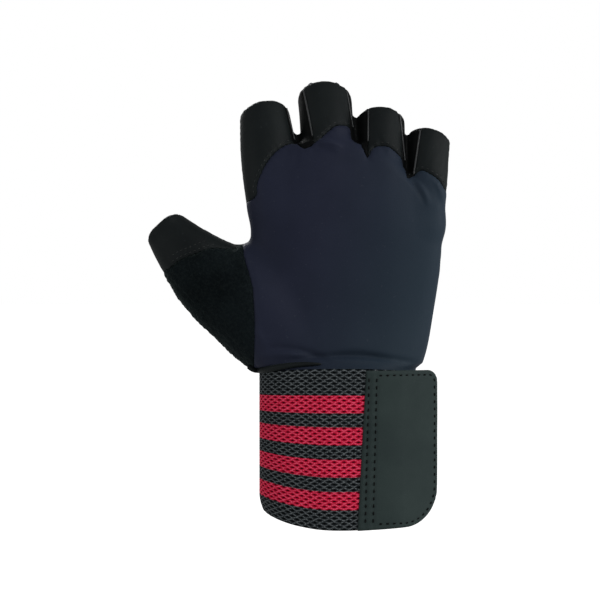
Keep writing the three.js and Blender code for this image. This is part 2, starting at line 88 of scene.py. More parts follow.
# The hand's step in to the cuff: where it begins, its height, how far the cuff lies inside the wrist, and
# the cuff's lower edge.
CUFF_TOP = 77.5
CUFF_STEP = 3.5
CUFF_INSET = 0.2
CUFF_FOOT = 10.0

# The thumb's root: how far its foot runs back, and its floor over the wrap, which drops beyond an edge.
THUMB_FOOT = 4.0
ROOT_FLOOR = 75.5
ROOT_FLOOR_DROP = 3.2
ROOT_FLOOR_EDGE = -37.0
ROOT_FLOOR_STEP = 7.0
ROOT_FLOOR_CLEAR = 0.1

# The webs between the fingers: half depth, half width, and height as a share of the palm's length.
WEB_HALF = 0.088 * PALM_DEPTH
WEB_REACH = 5.5
WEB_HEIGHT = 0.19

# How widely neighbouring forms of the hand blend into each other.
BLENDS = {
    "knuckles": 7, "thumb_foot": 5, "thumb_floor": 3, "thumb": 6, "finger_foot": 12, "finger": 3.2,
    "web": 2.6,
}

# How far each panel runs on under its neighbour at a seam.
SEAM_LAP = 0.16

# Open ends: their rise on the palm's side of the fingers and on both faces of the thumb, and the depth
# where it is full.
RIM_RISE = 4.2
RIM_RISE_DEPTH = 9.0

# The sag of the fingers' ends beside their middles, in millimetres per square millimetre: it fades toward
# the palm and ends at a depth.
RIM_SAG = 0.017
RIM_SAG_END = 7.0
RIM_SAG_FADE = 6.0

# The slant of the thumb's end, and the X beyond which an end is the thumb's.
THUMB_RIM_SLANT = 0.03
THUMB_SIDE = -50.0

# The cloth over its plain form: pull and puckers of its seams, its softness, and the towelling's loops. Below
# the calm height it lies plain under the wrap.
SEAM_PULL = 0.28
SEAM_PULL_REACH = 1.5
PUCKER = 0.16
PUCKER_PITCH = 3.1
PUCKER_REACH = 2.0
SOFTNESS = 0.16
SOFTNESS_SIZE = 26.0
LOOPS = 0.3
LOOPS_SIZE = 2.6
CALM_HEIGHT = 74.0
CALM_STEP = 3.0

# Palm rows: height, left, right, back, front, share of the knuckle arch.
PALM_ROWS = (
    (0.011, 0.429, 0.429, 0.618, 0.647, 0),
    (0.09, 0.45, 0.455, 0.559, 0.632, 0),
    (0.224, 0.465, 0.484, 0.5, 0.6, 0),
    (0.411, 0.468, 0.517, 0.471, 0.541, 0),
    (0.626, 0.467, 0.53, 0.45, 0.5, 0.3),
    (0.807, 0.47, 0.541, 0.42, 0.432, 0.8),
    (1, 0.47, 0.545, 0.365, 0.37, 1),
)

# Fingers: slope of the open end, then rows of height, centre, half width and half depth.
FINGERS = {
    "index": (
        0.14,
        ((0.598, -0.324, 0.1385, 0.368), (0.879, -0.3615, 0.152, 0.347), (1.16, -0.397, 0.131, 0.312)),
    ),
    "middle": (
        0,
        ((0.598, -0.058, 0.134, 0.368), (0.897, -0.058, 0.138, 0.353), (1.252, -0.081, 0.142, 0.324)),
    ),
    "ring": (
        -0.06,
        ((0.579, 0.203, 0.123, 0.353), (0.86, 0.221, 0.12, 0.338), (1.134, 0.2195, 0.122, 0.306)),
    ),
    "little": (
        -0.2,
        ((0.542, 0.429, 0.11, 0.324), (0.832, 0.457, 0.104, 0.3), (1.039, 0.4715, 0.111, 0.271)),
    ),
}

# Thumb rows: share of its length, outer edge, inner edge, half depth.
THUMB_ROOT = (-0.287 * PALM_WIDTH, WRAP_HEIGHT + 0.0673 * PALM_LENGTH)
THUMB_ROWS = (
    (0, -0.364, 0.43, 0.5),
    (0.146, -0.42, 0.525, 0.53),
    (0.317, -0.435, 0.6, 0.5),
    (0.488, -0.45, 0.6, 0.456),
    (0.605, -0.44, 0.52, 0.415),
    (0.669, -0.428, 0.415, 0.39),
    (0.84, -0.35, 0.3, 0.335),
    (1, -0.26, 0.225, 0.279),
)

# Seams, as shares across the palm and up from the wrap.
KNUCKLE_SEAM = (
    (-0.7, 0.7), (-0.459, 0.738), (-0.433, 0.801), (-0.396, 0.867), (-0.343, 0.925), (-0.278, 0.966),
    (-0.231, 0.978), (-0.193, 0.946), (-0.137, 0.963), (-0.076, 1.008), (-0.023, 1.042), (0.031, 1.05),
    (0.079, 1.037), (0.115, 0.958), (0.142, 0.904), (0.168, 0.949), (0.232, 0.958), (0.286, 0.937),
    (0.327, 0.908), (0.344, 0.867), (0.352, 0.826), (0.413, 0.858), (0.466, 0.842), (0.52, 0.812),
    (0.555, 0.78), (0.7, 0.72),
)
FINGER_SPLITS = (-0.193, 0.124, 0.35)
THUMB_SEAM = (
    (-0.52, 0.66), (-0.501, 0.505), (-0.47, 0.414), (-0.449, 0.326), (-0.443, 0.143), (-0.449, 0),
    (-0.449, -0.1),
)
THUMB_TIP_SEAM = (
    (-1.15, 0.39), (-0.929, 0.423), (-0.832, 0.473), (-0.757, 0.5), (-0.673, 0.527), (-0.57, 0.532),
    (-0.535, 0.56), (-0.53, 0.9),
)
TOWEL_TURN = ((-0.1, -0.3), (0.317, -0.3), (0.488, -0.315), (0.659, -0.3), (0.83, -0.245))

# Clearance of the towelling's turned edge from the thumb's seam, depth where the back's panels meet beside
# the thumb, and clearance of the pull tab from the strips.
TURN_CLEAR = 0.15
BACK_EDGE = 2.0
TAB_CLEAR = 0.3

# Between two fingers: crotch across, its height, how high the fingers touch, and the lines of the
# two seams on the back as (X, Z) at their tops and feet, in millimetres.
CROTCHES = {
    "index_middle": (-0.203, 0.985, 1.03, ((-26.1, 201), (-21.6, 183)), ((-17.4, 205.7), (-13.3, 182.8))),
    "middle_ring": (0.089, 0.98, 1.11, ((3.0, 208), (6.2, 189)), ((13.5, 198.8), (13.1, 180.7))),
    "ring_little": (0.351, 0.845, 1.025, ((28.2, 197), (30.8, 173)), ((38.5, 189), (34.7, 166))),
}

# Half of a strip's notch in the palm, across and up from the crotch, and how far its parts lap in depth.
NOTCH = ((0, -12), (2.6, -6), (4.6, 0.5), (4.4, 8), (3.0, 20), (1.5, 45))
STRIP_LAP = 3.0

# The pull tab beyond the middle finger: length on its outer face, half widths of its end and foot, reach
# of its round end, and how far it runs on under the finger's end.
PULL_LENGTH = 24.5
PULL_END_HALF = 7.2
PULL_FOOT_HALF = 10.6
PULL_ROUND = 10.8
PULL_LAP = 4.0

# The pads' outlines, as shares across the palm and up from the wrap.
PADS = {
    "knuckle_pad": (
        (0.495, 0.66), (0.495, 0.695), (0.34, 0.728), (0.151, 0.771), (-0.096, 0.794), (-0.336, 0.801),
        (-0.388, 0.7), (-0.173, 0.59), (0.079, 0.546), (0.322, 0.532), (0.475, 0.57),
    ),
    "thumb_pad": (
        (-0.378, 0.539), (-0.398, 0.464), (-0.351, 0.349), (-0.262, 0.209), (-0.188, 0.087), (-0.11, 0.022),
        (0.132, 0.043), (0.143, 0.168), (0.124, 0.318), (0.032, 0.416), (-0.126, 0.484), (-0.281, 0.533),
    ),
    "heel_pad": (
        (0.56, 0.44), (0.425, 0.429), (0.325, 0.389), (0.27, 0.308), (0.244, 0.203), (0.24, 0.08),
        (0.416, 0.062), (0.56, 0.1),
    ),
}

# Pads: turn of each honeycomb in degrees, depth of the skin where a pad ends, reach of its shoulder, how far
# it is sunk, the print's inset, and the honeycomb's pitch, wall and height.
PAD_TURNS = {"knuckle_pad": 12, "thumb_pad": 28, "heel_pad": -8}
PAD_EDGE = 6.5
PAD_SHOULDER = 3.2
PAD_SUNK = 0.25
PRINT_INSET = 1.2
COMB_PITCH = 4.3
COMB_WALL = 1.25
COMB_HEIGHT = 0.3

# The wrap: X of its two ends on the back, lift off the cuff and over its own start, step of its columns,
# wall, rounding and the arches of its edges at the wrist's sides, and the tuck of its lower corners.
BAND_START = 3.0
BAND_END = 12.5
BAND_RISE = 0.4
BAND_LAP_RISE = 2.1
BAND_STEP = 0.56
BAND_WALL = 1.7
BAND_EDGE = 0.9
BAND_FOOT_ARCH = 7.0
BAND_HEAD_ARCH = 1.9
BAND_TUCK = 2.2
BAND_TUCK_HEIGHT = 10.0

# The webbing: the yarns' wave along it, their rows, swing and relief, and its stripes as middle height and
# half height.
YARN_WAVE = 4.4
YARN_ROW = 1.3
YARN_SWING = 0.3
YARN_RELIEF = 0.42
YARN_RELIEF_DEPTH = 0.2
STRIPES = ((58.6, 4.1), (43.8, 4.1), (28.9, 4.1), (13.8, 4.2))

# The closing tab: lift off the wrist, X of its left edge, of where it leaves the wrist and of its end, how
# it leans out in radians, wall, foot, head, slant, corners, hem, and its two stitched columns.
TAB_LIFT = 4.0
TAB_LEFT = 7.6
TAB_LEAVES = 28.0
TAB_RIGHT = 45.2
TAB_LEAN = 0.06
TAB_WALL = 1.6
TAB_FOOT = 1.0
TAB_HEAD = 74.2
TAB_SLANT = 4.0
TAB_UPPER_CORNER = 5.5
TAB_LOWER_CORNER = 19.0
TAB_HEM = 2.2
TAB_COLUMNS = (3.4, 7.0)
TAB_COLUMN_SLANT = 1.9

# The hook patch: inset from the tab's edges, and its two faces from the tab's.
HOOK_INSET = 3.2
HOOK_TOP = -0.25
HOOK_BACK = -1.15

# Threads: how far the piping stays below the fingers' ends, the thumb's rows as distance from its seam and
# X of their ends, the knuckle seam's as shares across and distance from it, and the hems' distance.
PIPING_INSET = 1.2
THUMB_THREADS = ((1.5, -58), (4.0, -62))
THUMB_THREADS_START = -80.0
KNUCKLE_THREADS = ((-0.44, -0.25), (-0.15, 0.08), (0.17, 0.33), (0.36, 0.53))
KNUCKLE_THREADS_INSET = 1.4
HEM_INSET = 2.2

# The cuff's fold beside the thumb, as X and Z, and a length beyond every form.
FOLD_LINE = ((-43.0, 76.0), (-40.0, 74.7), (-35, 74.9), (-28, 75.9), (-19, 76.6), (-9, 76.8))
FAR = 500.0

# The stage, in metres: lights as name, place, size and watts, how strongly the white floor and sky light
# the object, and the camera.
LIGHTS = (
    ("key", (0.75, -0.85, 0.75), 0.6, 7),
    ("side", (1.2, -0.1, 0.35), 0.5, 5),
    ("fill", (-1.0, -0.6, 0.3), 0.9, 2),
    ("palm_key", (-0.5, 1.0, 0.8), 0.6, 7),
)
WHITE_AS_LIGHT = 0.3
CAMERA_PLACE = (-0.019, -1.1, 0.107)
CAMERA_LENS = 139


def across(share):
    return np.multiply(share, PALM_WIDTH)


def up(share):
    return WRAP_HEIGHT + np.multiply(share, PALM_LENGTH)


def in_plane(points):
    """Points in millimetres in X and Z, from shares across and up."""
    table = np.asarray(points, float)
    return np.stack([across(table[:, 0]), up(table[:, 1])], 1)


def read_table(rows, at):
    """The table's columns at given heights, on a cubic through its rows with slopes from their neighbours."""
    table = np.asarray(rows, float)
    keys, columns = table[:, 0], table[:, 1:]
    slopes = np.gradient(columns, keys, axis=0)
    inner = (columns[2:] - columns[:-2]) / (keys[2:] - keys[:-2])[:, None]
    slopes[1:-1] = inner
    row = np.clip(np.searchsorted(keys, at, side="right") - 1, 0, len(keys) - 2)
    step = keys[row + 1] - keys[row]
    t = np.clip((at - keys[row]) / step, 0, 1)
    keep = 2 * t**3 - 3 * t**2 + 1
    rise_low = (t**3 - 2 * t**2 + t) * step
    rise_high = (t**3 - t**2) * step
    return [
        keep * column[row] + (1 - keep) * column[row + 1] + rise_low * slope[row] + rise_high * slope[row + 1]
        for column, slope in zip(columns.T, slopes.T)
    ]


def oval_distance(x, y, left, right, back, front, power):
    """Distance outside an oval |x/a|^p + |y/b|^p = 1: its level over the length of its gradient."""
    a = np.where(x < 0, left, right)
    b = np.where(y < 0, back, front)
    u = np.abs(x) / a
    v = np.abs(y) / b
    total = u**power + v**power + 1e-9
    steep = total ** (1 / power - 1) * np.hypot(u ** (power - 1) / a, v ** (power - 1) / b)
    return (total ** (1 / power) - 1) / np.maximum(steep, 1e-4)


def smooth_min(a, b, reach):
    """The lesser of two distances, rounded where they come within reach of each other."""
    h = np.maximum(reach - np.abs(a - b), 0) / reach
    return np.minimum(a, b) - h * h * reach / 4


def ease(t):
    """A smooth step from 0 to 1 while t runs from 0 to 1."""
    t = np.clip(t, 0, 1)
    return t * t * (3 - 2 * t)


def smooth_max(a, b, reach):
    return -smooth_min(-a, -b, reach)


def on_thumb(x, z):
    """Length along the thumb and breadth across it, for points in the plane of the hand."""
    dx = x - THUMB_ROOT[0]
    dz = z - THUMB_ROOT[1]
    along = -math.sin(THUMB_TILT) * dx + math.cos(THUMB_TILT) * dz
    breadth = math.cos(THUMB_TILT) * dx + math.sin(THUMB_TILT) * dz
    return along, breadth


def off_thumb(along, breadth):
    """Points in the plane of the hand at a length along the thumb and a breadth across it."""
    x = THUMB_ROOT[0] - math.sin(THUMB_TILT) * along + math.cos(THUMB_TILT) * breadth
    z = THUMB_ROOT[1] + math.cos(THUMB_TILT) * along + math.sin(THUMB_TILT) * breadth
    return np.stack([x, z], -1)


def root_floor(x):
    """Height at which the thumb's root ends: just above the wrap, and a little lower outside it."""
    return ROOT_FLOOR - ROOT_FLOOR_DROP * ease((ROOT_FLOOR_EDGE - x) / ROOT_FLOOR_STEP)


def hand_field(x, y, z):
    """Distance outside the flat hand: palm, thumb, four fingers and their webs, blended where they meet."""
    level = (z - WRAP_HEIGHT) / PALM_LENGTH + 0 * x
    for _ in range(3):
        arch = read_table(PALM_ROWS, level)[4]
        level = (z - WRAP_HEIGHT + arch * (x - KNUCKLE_PEAK) ** 2 / PALM_WIDTH) / PALM_LENGTH
    left, right, back, front, _ = read_table(PALM_ROWS, level)
    power = PALM_POWER + PALM_POWER_GAIN * np.clip(level / PALM_POWER_FULL, 0, 1)
    cuff = ease((CUFF_TOP - z) / CUFF_STEP)
    sizes = [left * PALM_WIDTH, right * PALM_WIDTH, back * PALM_DEPTH, front * PALM_DEPTH]
    ends = np.repeat(WRIST, 2) - CUFF_INSET
    sizes = [size + (end - size) * cuff for size, end in zip(sizes, ends)]
    side = oval_distance(x, y, *sizes, power)
    body = smooth_max(side, (level - 1) * PALM_LENGTH, BLENDS["knuckles"])
    along, breadth = on_thumb(x, z)
    outer, inner, deep = read_table(THUMB_ROWS, along / THUMB_LENGTH)
    wide = (inner - outer) / 2 * THUMB_WIDTH
    middle = (inner + outer) / 2 * THUMB_WIDTH
    deep = deep * PALM_DEPTH
    thumb = oval_distance(breadth - middle, y, wide, wide, deep, deep, FINGER_POWER)
    thumb = smooth_max(thumb, -along - THUMB_FOOT, BLENDS["thumb_foot"])
    thumb = smooth_max(thumb, root_floor(x) + ROOT_FLOOR_CLEAR - z, BLENDS["thumb_floor"])
    body = smooth_min(body, thumb, BLENDS["thumb"])
    hand = body
    for _, rows in FINGERS.values():
        centre, half, deep = read_table(rows, (z - WRAP_HEIGHT) / PALM_LENGTH)
        half = half * PALM_WIDTH
        deep = deep * PALM_DEPTH
        finger = oval_distance(x - centre * PALM_WIDTH, y, half, half, deep, deep, FINGER_POWER)
        finger = smooth_max(finger, up(rows[0][0]) - z, BLENDS["finger_foot"])
        hand = np.minimum(hand, smooth_min(body, finger, BLENDS["finger"]))
    for centre, crotch, top, *_ in CROTCHES.values():
        web = np.maximum(np.abs(x - across(centre)) - WEB_REACH, np.abs(y) - WEB_HALF)
        web = np.maximum(web, np.maximum(z - up(top), up(crotch - WEB_HEIGHT) - z))
        hand = smooth_min(hand, web, BLENDS["web"])
    return hand


def gradient(points):
    """The field's slope at each point, from differences 0.05 mm to both sides."""
    x, y, z = points.T
    reach = 0.05
    return np.stack(
        [
            hand_field(x + reach, y, z) - hand_field(x - reach, y, z),
            hand_field(x, y + reach, z) - hand_field(x, y - reach, z),
            hand_field(x, y, z + reach) - hand_field(x, y, z - reach),
        ],
        1,
    ) / (2 * reach)


def surface_net(values, origin, step):
    """Faces round a field's zero level: a point in each cell it crosses, four round each crossed edge."""
    inside = values < 0
    shape = np.array(values.shape)
    cells, quads, marks = [], [], []
    for axis in range(3):
        low = [slice(None)] * 3
        high = [slice(None)] * 3
        low[axis] = slice(0, -1)
        high[axis] = slice(1, None)
        low, high = tuple(low), tuple(high)
        at = np.argwhere(inside[low] != inside[high])
        b, c = (axis + 1) % 3, (axis + 2) % 3
        keep = (at[:, b] > 0) & (at[:, c] > 0) & (at[:, b] < shape[b] - 1) & (at[:, c] < shape[c] - 1)
        at = at[keep]
        first = values[low][tuple(at.T)]
        second = values[high][tuple(at.T)]
        point = at.astype(float)
        point[:, axis] += first / (first - second)
        corners = []
        for db, dc in ((-1, -1), (0, -1), (0, 0), (-1, 0)):
            cell = at.copy()
            cell[:, b] += db
            cell[:, c] += dc
            corners.append(np.ravel_multi_index(tuple(cell.T), values.shape))
        corners = np.stack(corners, 1)
        corners[first >= 0] = corners[first >= 0][:, ::-1]
        quads.append(corners)
        cells.append(corners.ravel())
        marks.append(np.repeat(point, 4, 0))
    used, index = np.unique(np.concatenate(cells), return_inverse=True)
    index = index.ravel()
    marks = np.concatenate(marks)
    count = np.bincount(index)
    points = np.stack([np.bincount(index, marks[:, axis]) / count for axis in range(3)], 1)
    return points * step + origin, index.reshape(-1, 4)


@functools.cache
def hand_skin():
    """The whole outer surface of the flat hand, as points, outward directions and triangles."""
    step = 0.95
    origin = np.array([-97.0, -24.5, 70.0])
    size = (np.array([58.0, 26.0, 250.0]) - origin) / step
    x, y, z = (origin[axis] + step * np.arange(int(size[axis])) for axis in range(3))
    values = hand_field(x[:, None, None], y[None, :, None], z[None, None, :])
    points, quads = surface_net(values, origin, step)
    for _ in range(2):
        slope = gradient(points)
        level = hand_field(*points.T)
        points = points - slope * (level / np.maximum((slope**2).sum(1), 0.2))[:, None]
    slope = gradient(points)
    normals = slope / np.linalg.norm(slope, axis=1)[:, None]
    triangles = np.concatenate([quads[:, [0, 1, 2]], quads[:, [0, 2, 3]]])
    return points, normals, triangles


def on_skin(x, z, face):
    """The hand's depth Y at points of the plane, walked in from outside one face, to the middle at most."""
    outside, steps, stride = 30.0, 40, 0.8
    depth = np.full(np.shape(x), outside)
    for _ in range(steps):
        depth = np.clip(depth - stride * hand_field(x, face * depth, z), 0, outside)
    return face * depth


def bend(points):
    """Lowers the thumb toward the palm, then curls what lies above the knuckles on two arcs."""
    x, y, z = points.T
    dropped = y + THUMB_DROP * np.maximum(THUMB_DROP_FROM - x, 0) ** 2
    along = np.clip(z, CURL_START, CURL_END) - CURL_START
    angle = along / CURL_RADIUS
    turned = angle + np.maximum(z - CURL_END, 0) / TAB_CURL_RADIUS
    spine_y = CURL_RADIUS * (1 - np.cos(angle)) + TAB_CURL_RADIUS * (np.cos(angle) - np.cos(turned))
    spine_z = CURL_START + CURL_RADIUS * np.sin(angle) + TAB_CURL_RADIUS * (np.sin(turned) - np.sin(angle))
    spine_z = np.where(z < CURL_START, z, spine_z)
    return np.stack([x, spine_y + dropped * np.cos(turned), spine_z - dropped * np.sin(turned)], 1)


def smooth_line(points, per=6, closed=False):
    """Points along a Catmull-Rom curve through the given ones."""
    line = np.asarray(points, float)
    if closed:
        line = np.concatenate([line[-1:], line, line[:2]])
    else:
        line = np.concatenate([2 * line[:1] - line[1:2], line, 2 * line[-1:] - line[-2:-1]])
    before, start, end, after = line[:-3], line[1:-2], line[2:-1], line[3:]
    t = np.linspace(0, 1, per, endpoint=False)[None, :, None]
    a, b, c, d = (part[:, None, :] for part in (before, start, end, after))
    curve = 0.5 * (2 * b + (c - a) * t + (2 * a - 5 * b + 4 * c - d) * t**2 + (3 * b - a - 3 * c + d) * t**3)
    curve = curve.reshape(-1, line.shape[1])
    return curve if closed else np.concatenate([curve, end[-1:]])


def inside_outline(outline, x, z):
    """Distance inside a closed outline, and the run along it to the nearest point."""
    start = np.asarray(outline, float)
    end = np.roll(start, -1, 0)
    best = np.full(np.shape(x), 1e12)
    run = np.zeros(np.shape(x))
    within = np.zeros(np.shape(x), bool)
    passed = 0.0
    for (x0, z0), (x1, z1) in zip(start, end):
        length = math.hypot(x1 - x0, z1 - z0)
        if length < 1e-9:
            continue
        t = np.clip(((x - x0) * (x1 - x0) + (z - z0) * (z1 - z0)) / length**2, 0, 1)
        gap = (x - x0 - t * (x1 - x0)) ** 2 + (z - z0 - t * (z1 - z0)) ** 2
        nearer = gap < best
        best = np.where(nearer, gap, best)
        run = np.where(nearer, passed + t * length, run)
        passed += length
        if z0 != z1:
            crosses = (z0 > z) != (z1 > z)
            within ^= crosses & (x < x0 + (z - z0) / (z1 - z0) * (x1 - x0))
    return np.where(within, 1, -1) * np.sqrt(best), run


def least(*distances):
    return functools.reduce(np.minimum, distances)


def most(*distances):
    return functools.reduce(np.maximum, distances)


def line_x(ends, z):
    """X at each height of a straight line between two points, carried on past both."""
    (x0, z0), (x1, z1) = ends
    return x0 + (z - z0) / (z1 - z0) * (x1 - x0)


def pull_tab_outline():
    """The pull tab in the flat hand, stretched so that its outer face has its length once it is bent."""
    _, centre, _, deep = FINGERS["middle"][1][-1]
    middle = across(centre)
    length = PULL_LENGTH * TAB_CURL_RADIUS / (TAB_CURL_RADIUS - deep * PALM_DEPTH)
    angles = np.linspace(0, math.pi, 13)
    heights = CURL_END + length - 1 - PULL_ROUND * (1 - np.sin(angles))
    end = np.stack([middle + PULL_END_HALF * np.cos(angles), heights], 1)
    left, right = middle - PULL_FOOT_HALF, middle + PULL_FOOT_HALF
    foot = CURL_END - PULL_LAP
    return np.concatenate([end, [(left, CURL_END), (left, foot), (right, foot), (right, CURL_END)]])


@functools.cache
def outlines():
    """The closed outlines of the seams' zones in the plane of the hand."""
    knuckle = smooth_line(in_plane(KNUCKLE_SEAM), 4)
    thumb = smooth_line(in_plane(THUMB_SEAM), 4)
    tip = smooth_line(in_plane(THUMB_TIP_SEAM), 4)
    turn = smooth_line(np.asarray(TOWEL_TURN) * (THUMB_LENGTH, THUMB_WIDTH), 4)
    turn_end = off_thumb(TOWEL_TURN[-1][0] * THUMB_LENGTH, -FAR)
    turn_foot = (across(THUMB_SEAM[-1][0]) - TURN_CLEAR, -FAR)
    return {
        "fingers": np.concatenate([knuckle, [(across(0.7), FAR), (across(-0.7), FAR)]]),
        "thumb": np.concatenate([thumb, [(-FAR, up(-0.1)), (-FAR, up(1.6))]]),
        "tip": np.concatenate([tip, [(-FAR, up(1.6))]]),
        "turn": np.concatenate([off_thumb(*turn.T), [turn_end, turn_foot]]),
        "tab": pull_tab_outline(),
    }


def below_rims(x, y, z):
    """Distance below the open end of the finger or the thumb that a point belongs to."""
    along, breadth = on_thumb(x, z)
    thumb = THUMB_LENGTH - THUMB_RIM_SLANT * breadth - along
    thumb = thumb + RIM_RISE * np.clip(np.abs(y) / RIM_RISE_DEPTH, 0, 1)
    gaps = []
    for _, rows in FINGERS.values():
        centre, half, _ = read_table(rows, (z - WRAP_HEIGHT) / PALM_LENGTH)
        gaps.append(np.abs(x - across(centre)) - across(half))
    nearest = np.argmin(gaps, 0)
    ends = [(up(rows[-1][0]), slope, across(rows[-1][1])) for slope, rows in FINGERS.values()]
    tops, slopes, centres = np.array(ends).T
    beside = x - centres[nearest]
    sag = RIM_SAG * beside**2 * np.clip((RIM_SAG_END - y) / RIM_SAG_FADE, 0, 1)
    rise = RIM_RISE * np.clip(y / RIM_RISE_DEPTH, 0, 1)
    finger = tops[nearest] + slopes[nearest] * beside - z - sag + rise
    return np.where(x < THUMB_SIDE, thumb, finger)


def inside_strips(x, y, z, fingers):
    """Distance inside each strip between two fingers: sides, part on the back, notch in the palm."""
    strips = {}
    half = smooth_line(NOTCH, 4)
    whole = np.concatenate([half * (-1, 1), half[:0:-1]])
    for name, (centre, crotch, _, lower, upper) in CROTCHES.items():
        middle, height = across(centre), up(crotch)
        first, second = (FINGERS[part][1] for part in name.split("_"))
        low = across((first[2][1] + first[1][1]) / 2)
        high = across((second[2][1] + second[1][1]) / 2)
        sides = least(x - low, high - x, z - height + GUSSET_HALF, GUSSET_HALF - np.abs(y))
        behind = least(x - line_x(lower, z), line_x(upper, z) - x, fingers, STRIP_LAP - y)
        notch, _ = inside_outline(whole + (middle, height), x, z)
        strips[name] = most(sides, behind, least(notch, y + STRIP_LAP))
    return strips


@functools.cache
def panel_distances():
    """Each panel's distance inside its edges at every point of the skin, and the runs along the seams."""
    x, y, z = hand_skin()[0].T
    zones, runs = {}, {}
    for name, outline in outlines().items():
        zones[name], runs[name] = inside_outline(outline, x, z)
    rim = below_rims(x, y, z)
    strips = inside_strips(x, y, z, zones["fingers"])
    apart = -most(*strips.values())
    turn = least(zones["turn"], z - root_floor(x))
    back = least(most(-y, turn), apart, rim)
    palm = least(y, -turn, apart, most(rim, least(zones["tab"], y - GUSSET_HALF - TAB_CLEAR)))
    fingers = least(back, zones["fingers"], -zones["thumb"])
    thumb = least(back, most(zones["thumb"], y - BACK_EDGE))
    first, second, third = across(FINGER_SPLITS)
    panels = {
        "back_panel": least(back, -zones["fingers"], -zones["thumb"], BACK_EDGE - y),
        "index_back": least(fingers, first - x),
        "middle_back": least(fingers, x - first, second - x),
        "ring_back": least(fingers, x - second, third - x),
        "little_back": least(fingers, x - third),
        "thumb_tip": least(thumb, zones["tip"]),
        "thumb_wipe": least(thumb, -zones["tip"]),
        "palm_panel": palm,
    }
    for name, distance in strips.items():
        panels[f"gusset_{name}"] = least(distance, rim)
    return panels, runs


def cut(points, triangles, distance, *extras):
    """Keeps the triangles where the distance is above zero and cuts those that it crosses."""
    inside = distance > 0
    count = inside[triangles].sum(1)
    kept = triangles[count == 3]
    crossed = triangles[(count == 1) | (count == 2)]
    lone_inside = inside[crossed].sum(1) == 1
    lone = np.argmax(inside[crossed] == lone_inside[:, None], 1)
    rows = np.arange(len(crossed))
    a = crossed[rows, lone]
    b = crossed[rows, (lone + 1) % 3]
    c = crossed[rows, (lone + 2) % 3]
    pairs = np.sort(np.concatenate([np.stack([a, b], 1), np.stack([a, c], 1)]), 1)
    edges, index = np.unique(pairs, axis=0, return_inverse=True)
    index = index.ravel()
    start, end = edges.T
    sliver = 0.02
    t = np.clip(distance[start] / (distance[start] - distance[end]), sliver, 1 - sliver)

    def mixed(values):
        share = t if values.ndim == 1 else t[:, None]
        return values[start] + (values[end] - values[start]) * share

    ab = len(points) + index[: len(a)]
    ac = len(points) + index[len(a) :]
    small = np.stack([a, ab, ac], 1)[lone_inside]
    large = ~lone_inside
    kept = np.concatenate(
        [kept, small, np.stack([ab, b, c], 1)[large], np.stack([ab, c, ac], 1)[large]]
    )
    used, faces = np.unique(kept, return_inverse=True)
    grown = [np.concatenate([values, mixed(values)])[used] for values in (points, distance, *extras)]
    grown[1] = np.maximum(grown[1], 0)
    return (grown[0], faces.reshape(-1, 3), *grown[1:])


def rim_points(count, triangles):
    """Marks the points on edges that only one triangle has."""
    edges = np.sort(np.concatenate([triangles[:, [0, 1]], triangles[:, [1, 2]], triangles[:, [2, 0]]]), 1)
    single, times = np.unique(edges, axis=0, return_counts=True)
    mark = np.zeros(count, bool)
    mark[single[times == 1].ravel()] = True
    return mark


def twins(count, triangles):
    """Marks a sheet's inner points, and numbers each point's twin behind it: itself on the sheet's edge."""
    inner = ~rim_points(count, triangles)
    return inner, np.where(inner, count + np.cumsum(inner) - 1, np.arange(count))


def thicken(points, normals, triangles, distance, thickness):
    """A closed wall inward of a surface, its edge rounded on half its thickness like a folded hem."""
    radius = thickness / 2
    reach = radius - np.minimum(distance, radius)
    inner, twin = twins(len(points), triangles)
    drop = np.where(inner, radius - np.sqrt(np.maximum(radius**2 - reach**2, 0)), radius)
    face = points - normals * drop[:, None]
    back = points - normals * (thickness - drop)[:, None]
    return np.concatenate([face, back[inner]]), np.concatenate([triangles, twin[triangles][:, ::-1]])


def ripple(x, y, z, size, seed=0.0):
    """Slow even undulation from -1 to 1: a sum of turned sine waves about one size long."""
    total = 0.0
    for step in range(6):
        turn = seed + 2.4 * step
        rise = 0.6 * math.sin(1.7 * step + seed)
        wave = 2 * math.pi / (size * (0.75 + 0.12 * step))
        along = math.cos(turn) * x + math.sin(turn) * z + rise * y
        total = total + np.sin(wave * along + 1.3 * step + seed)
    return total / 4


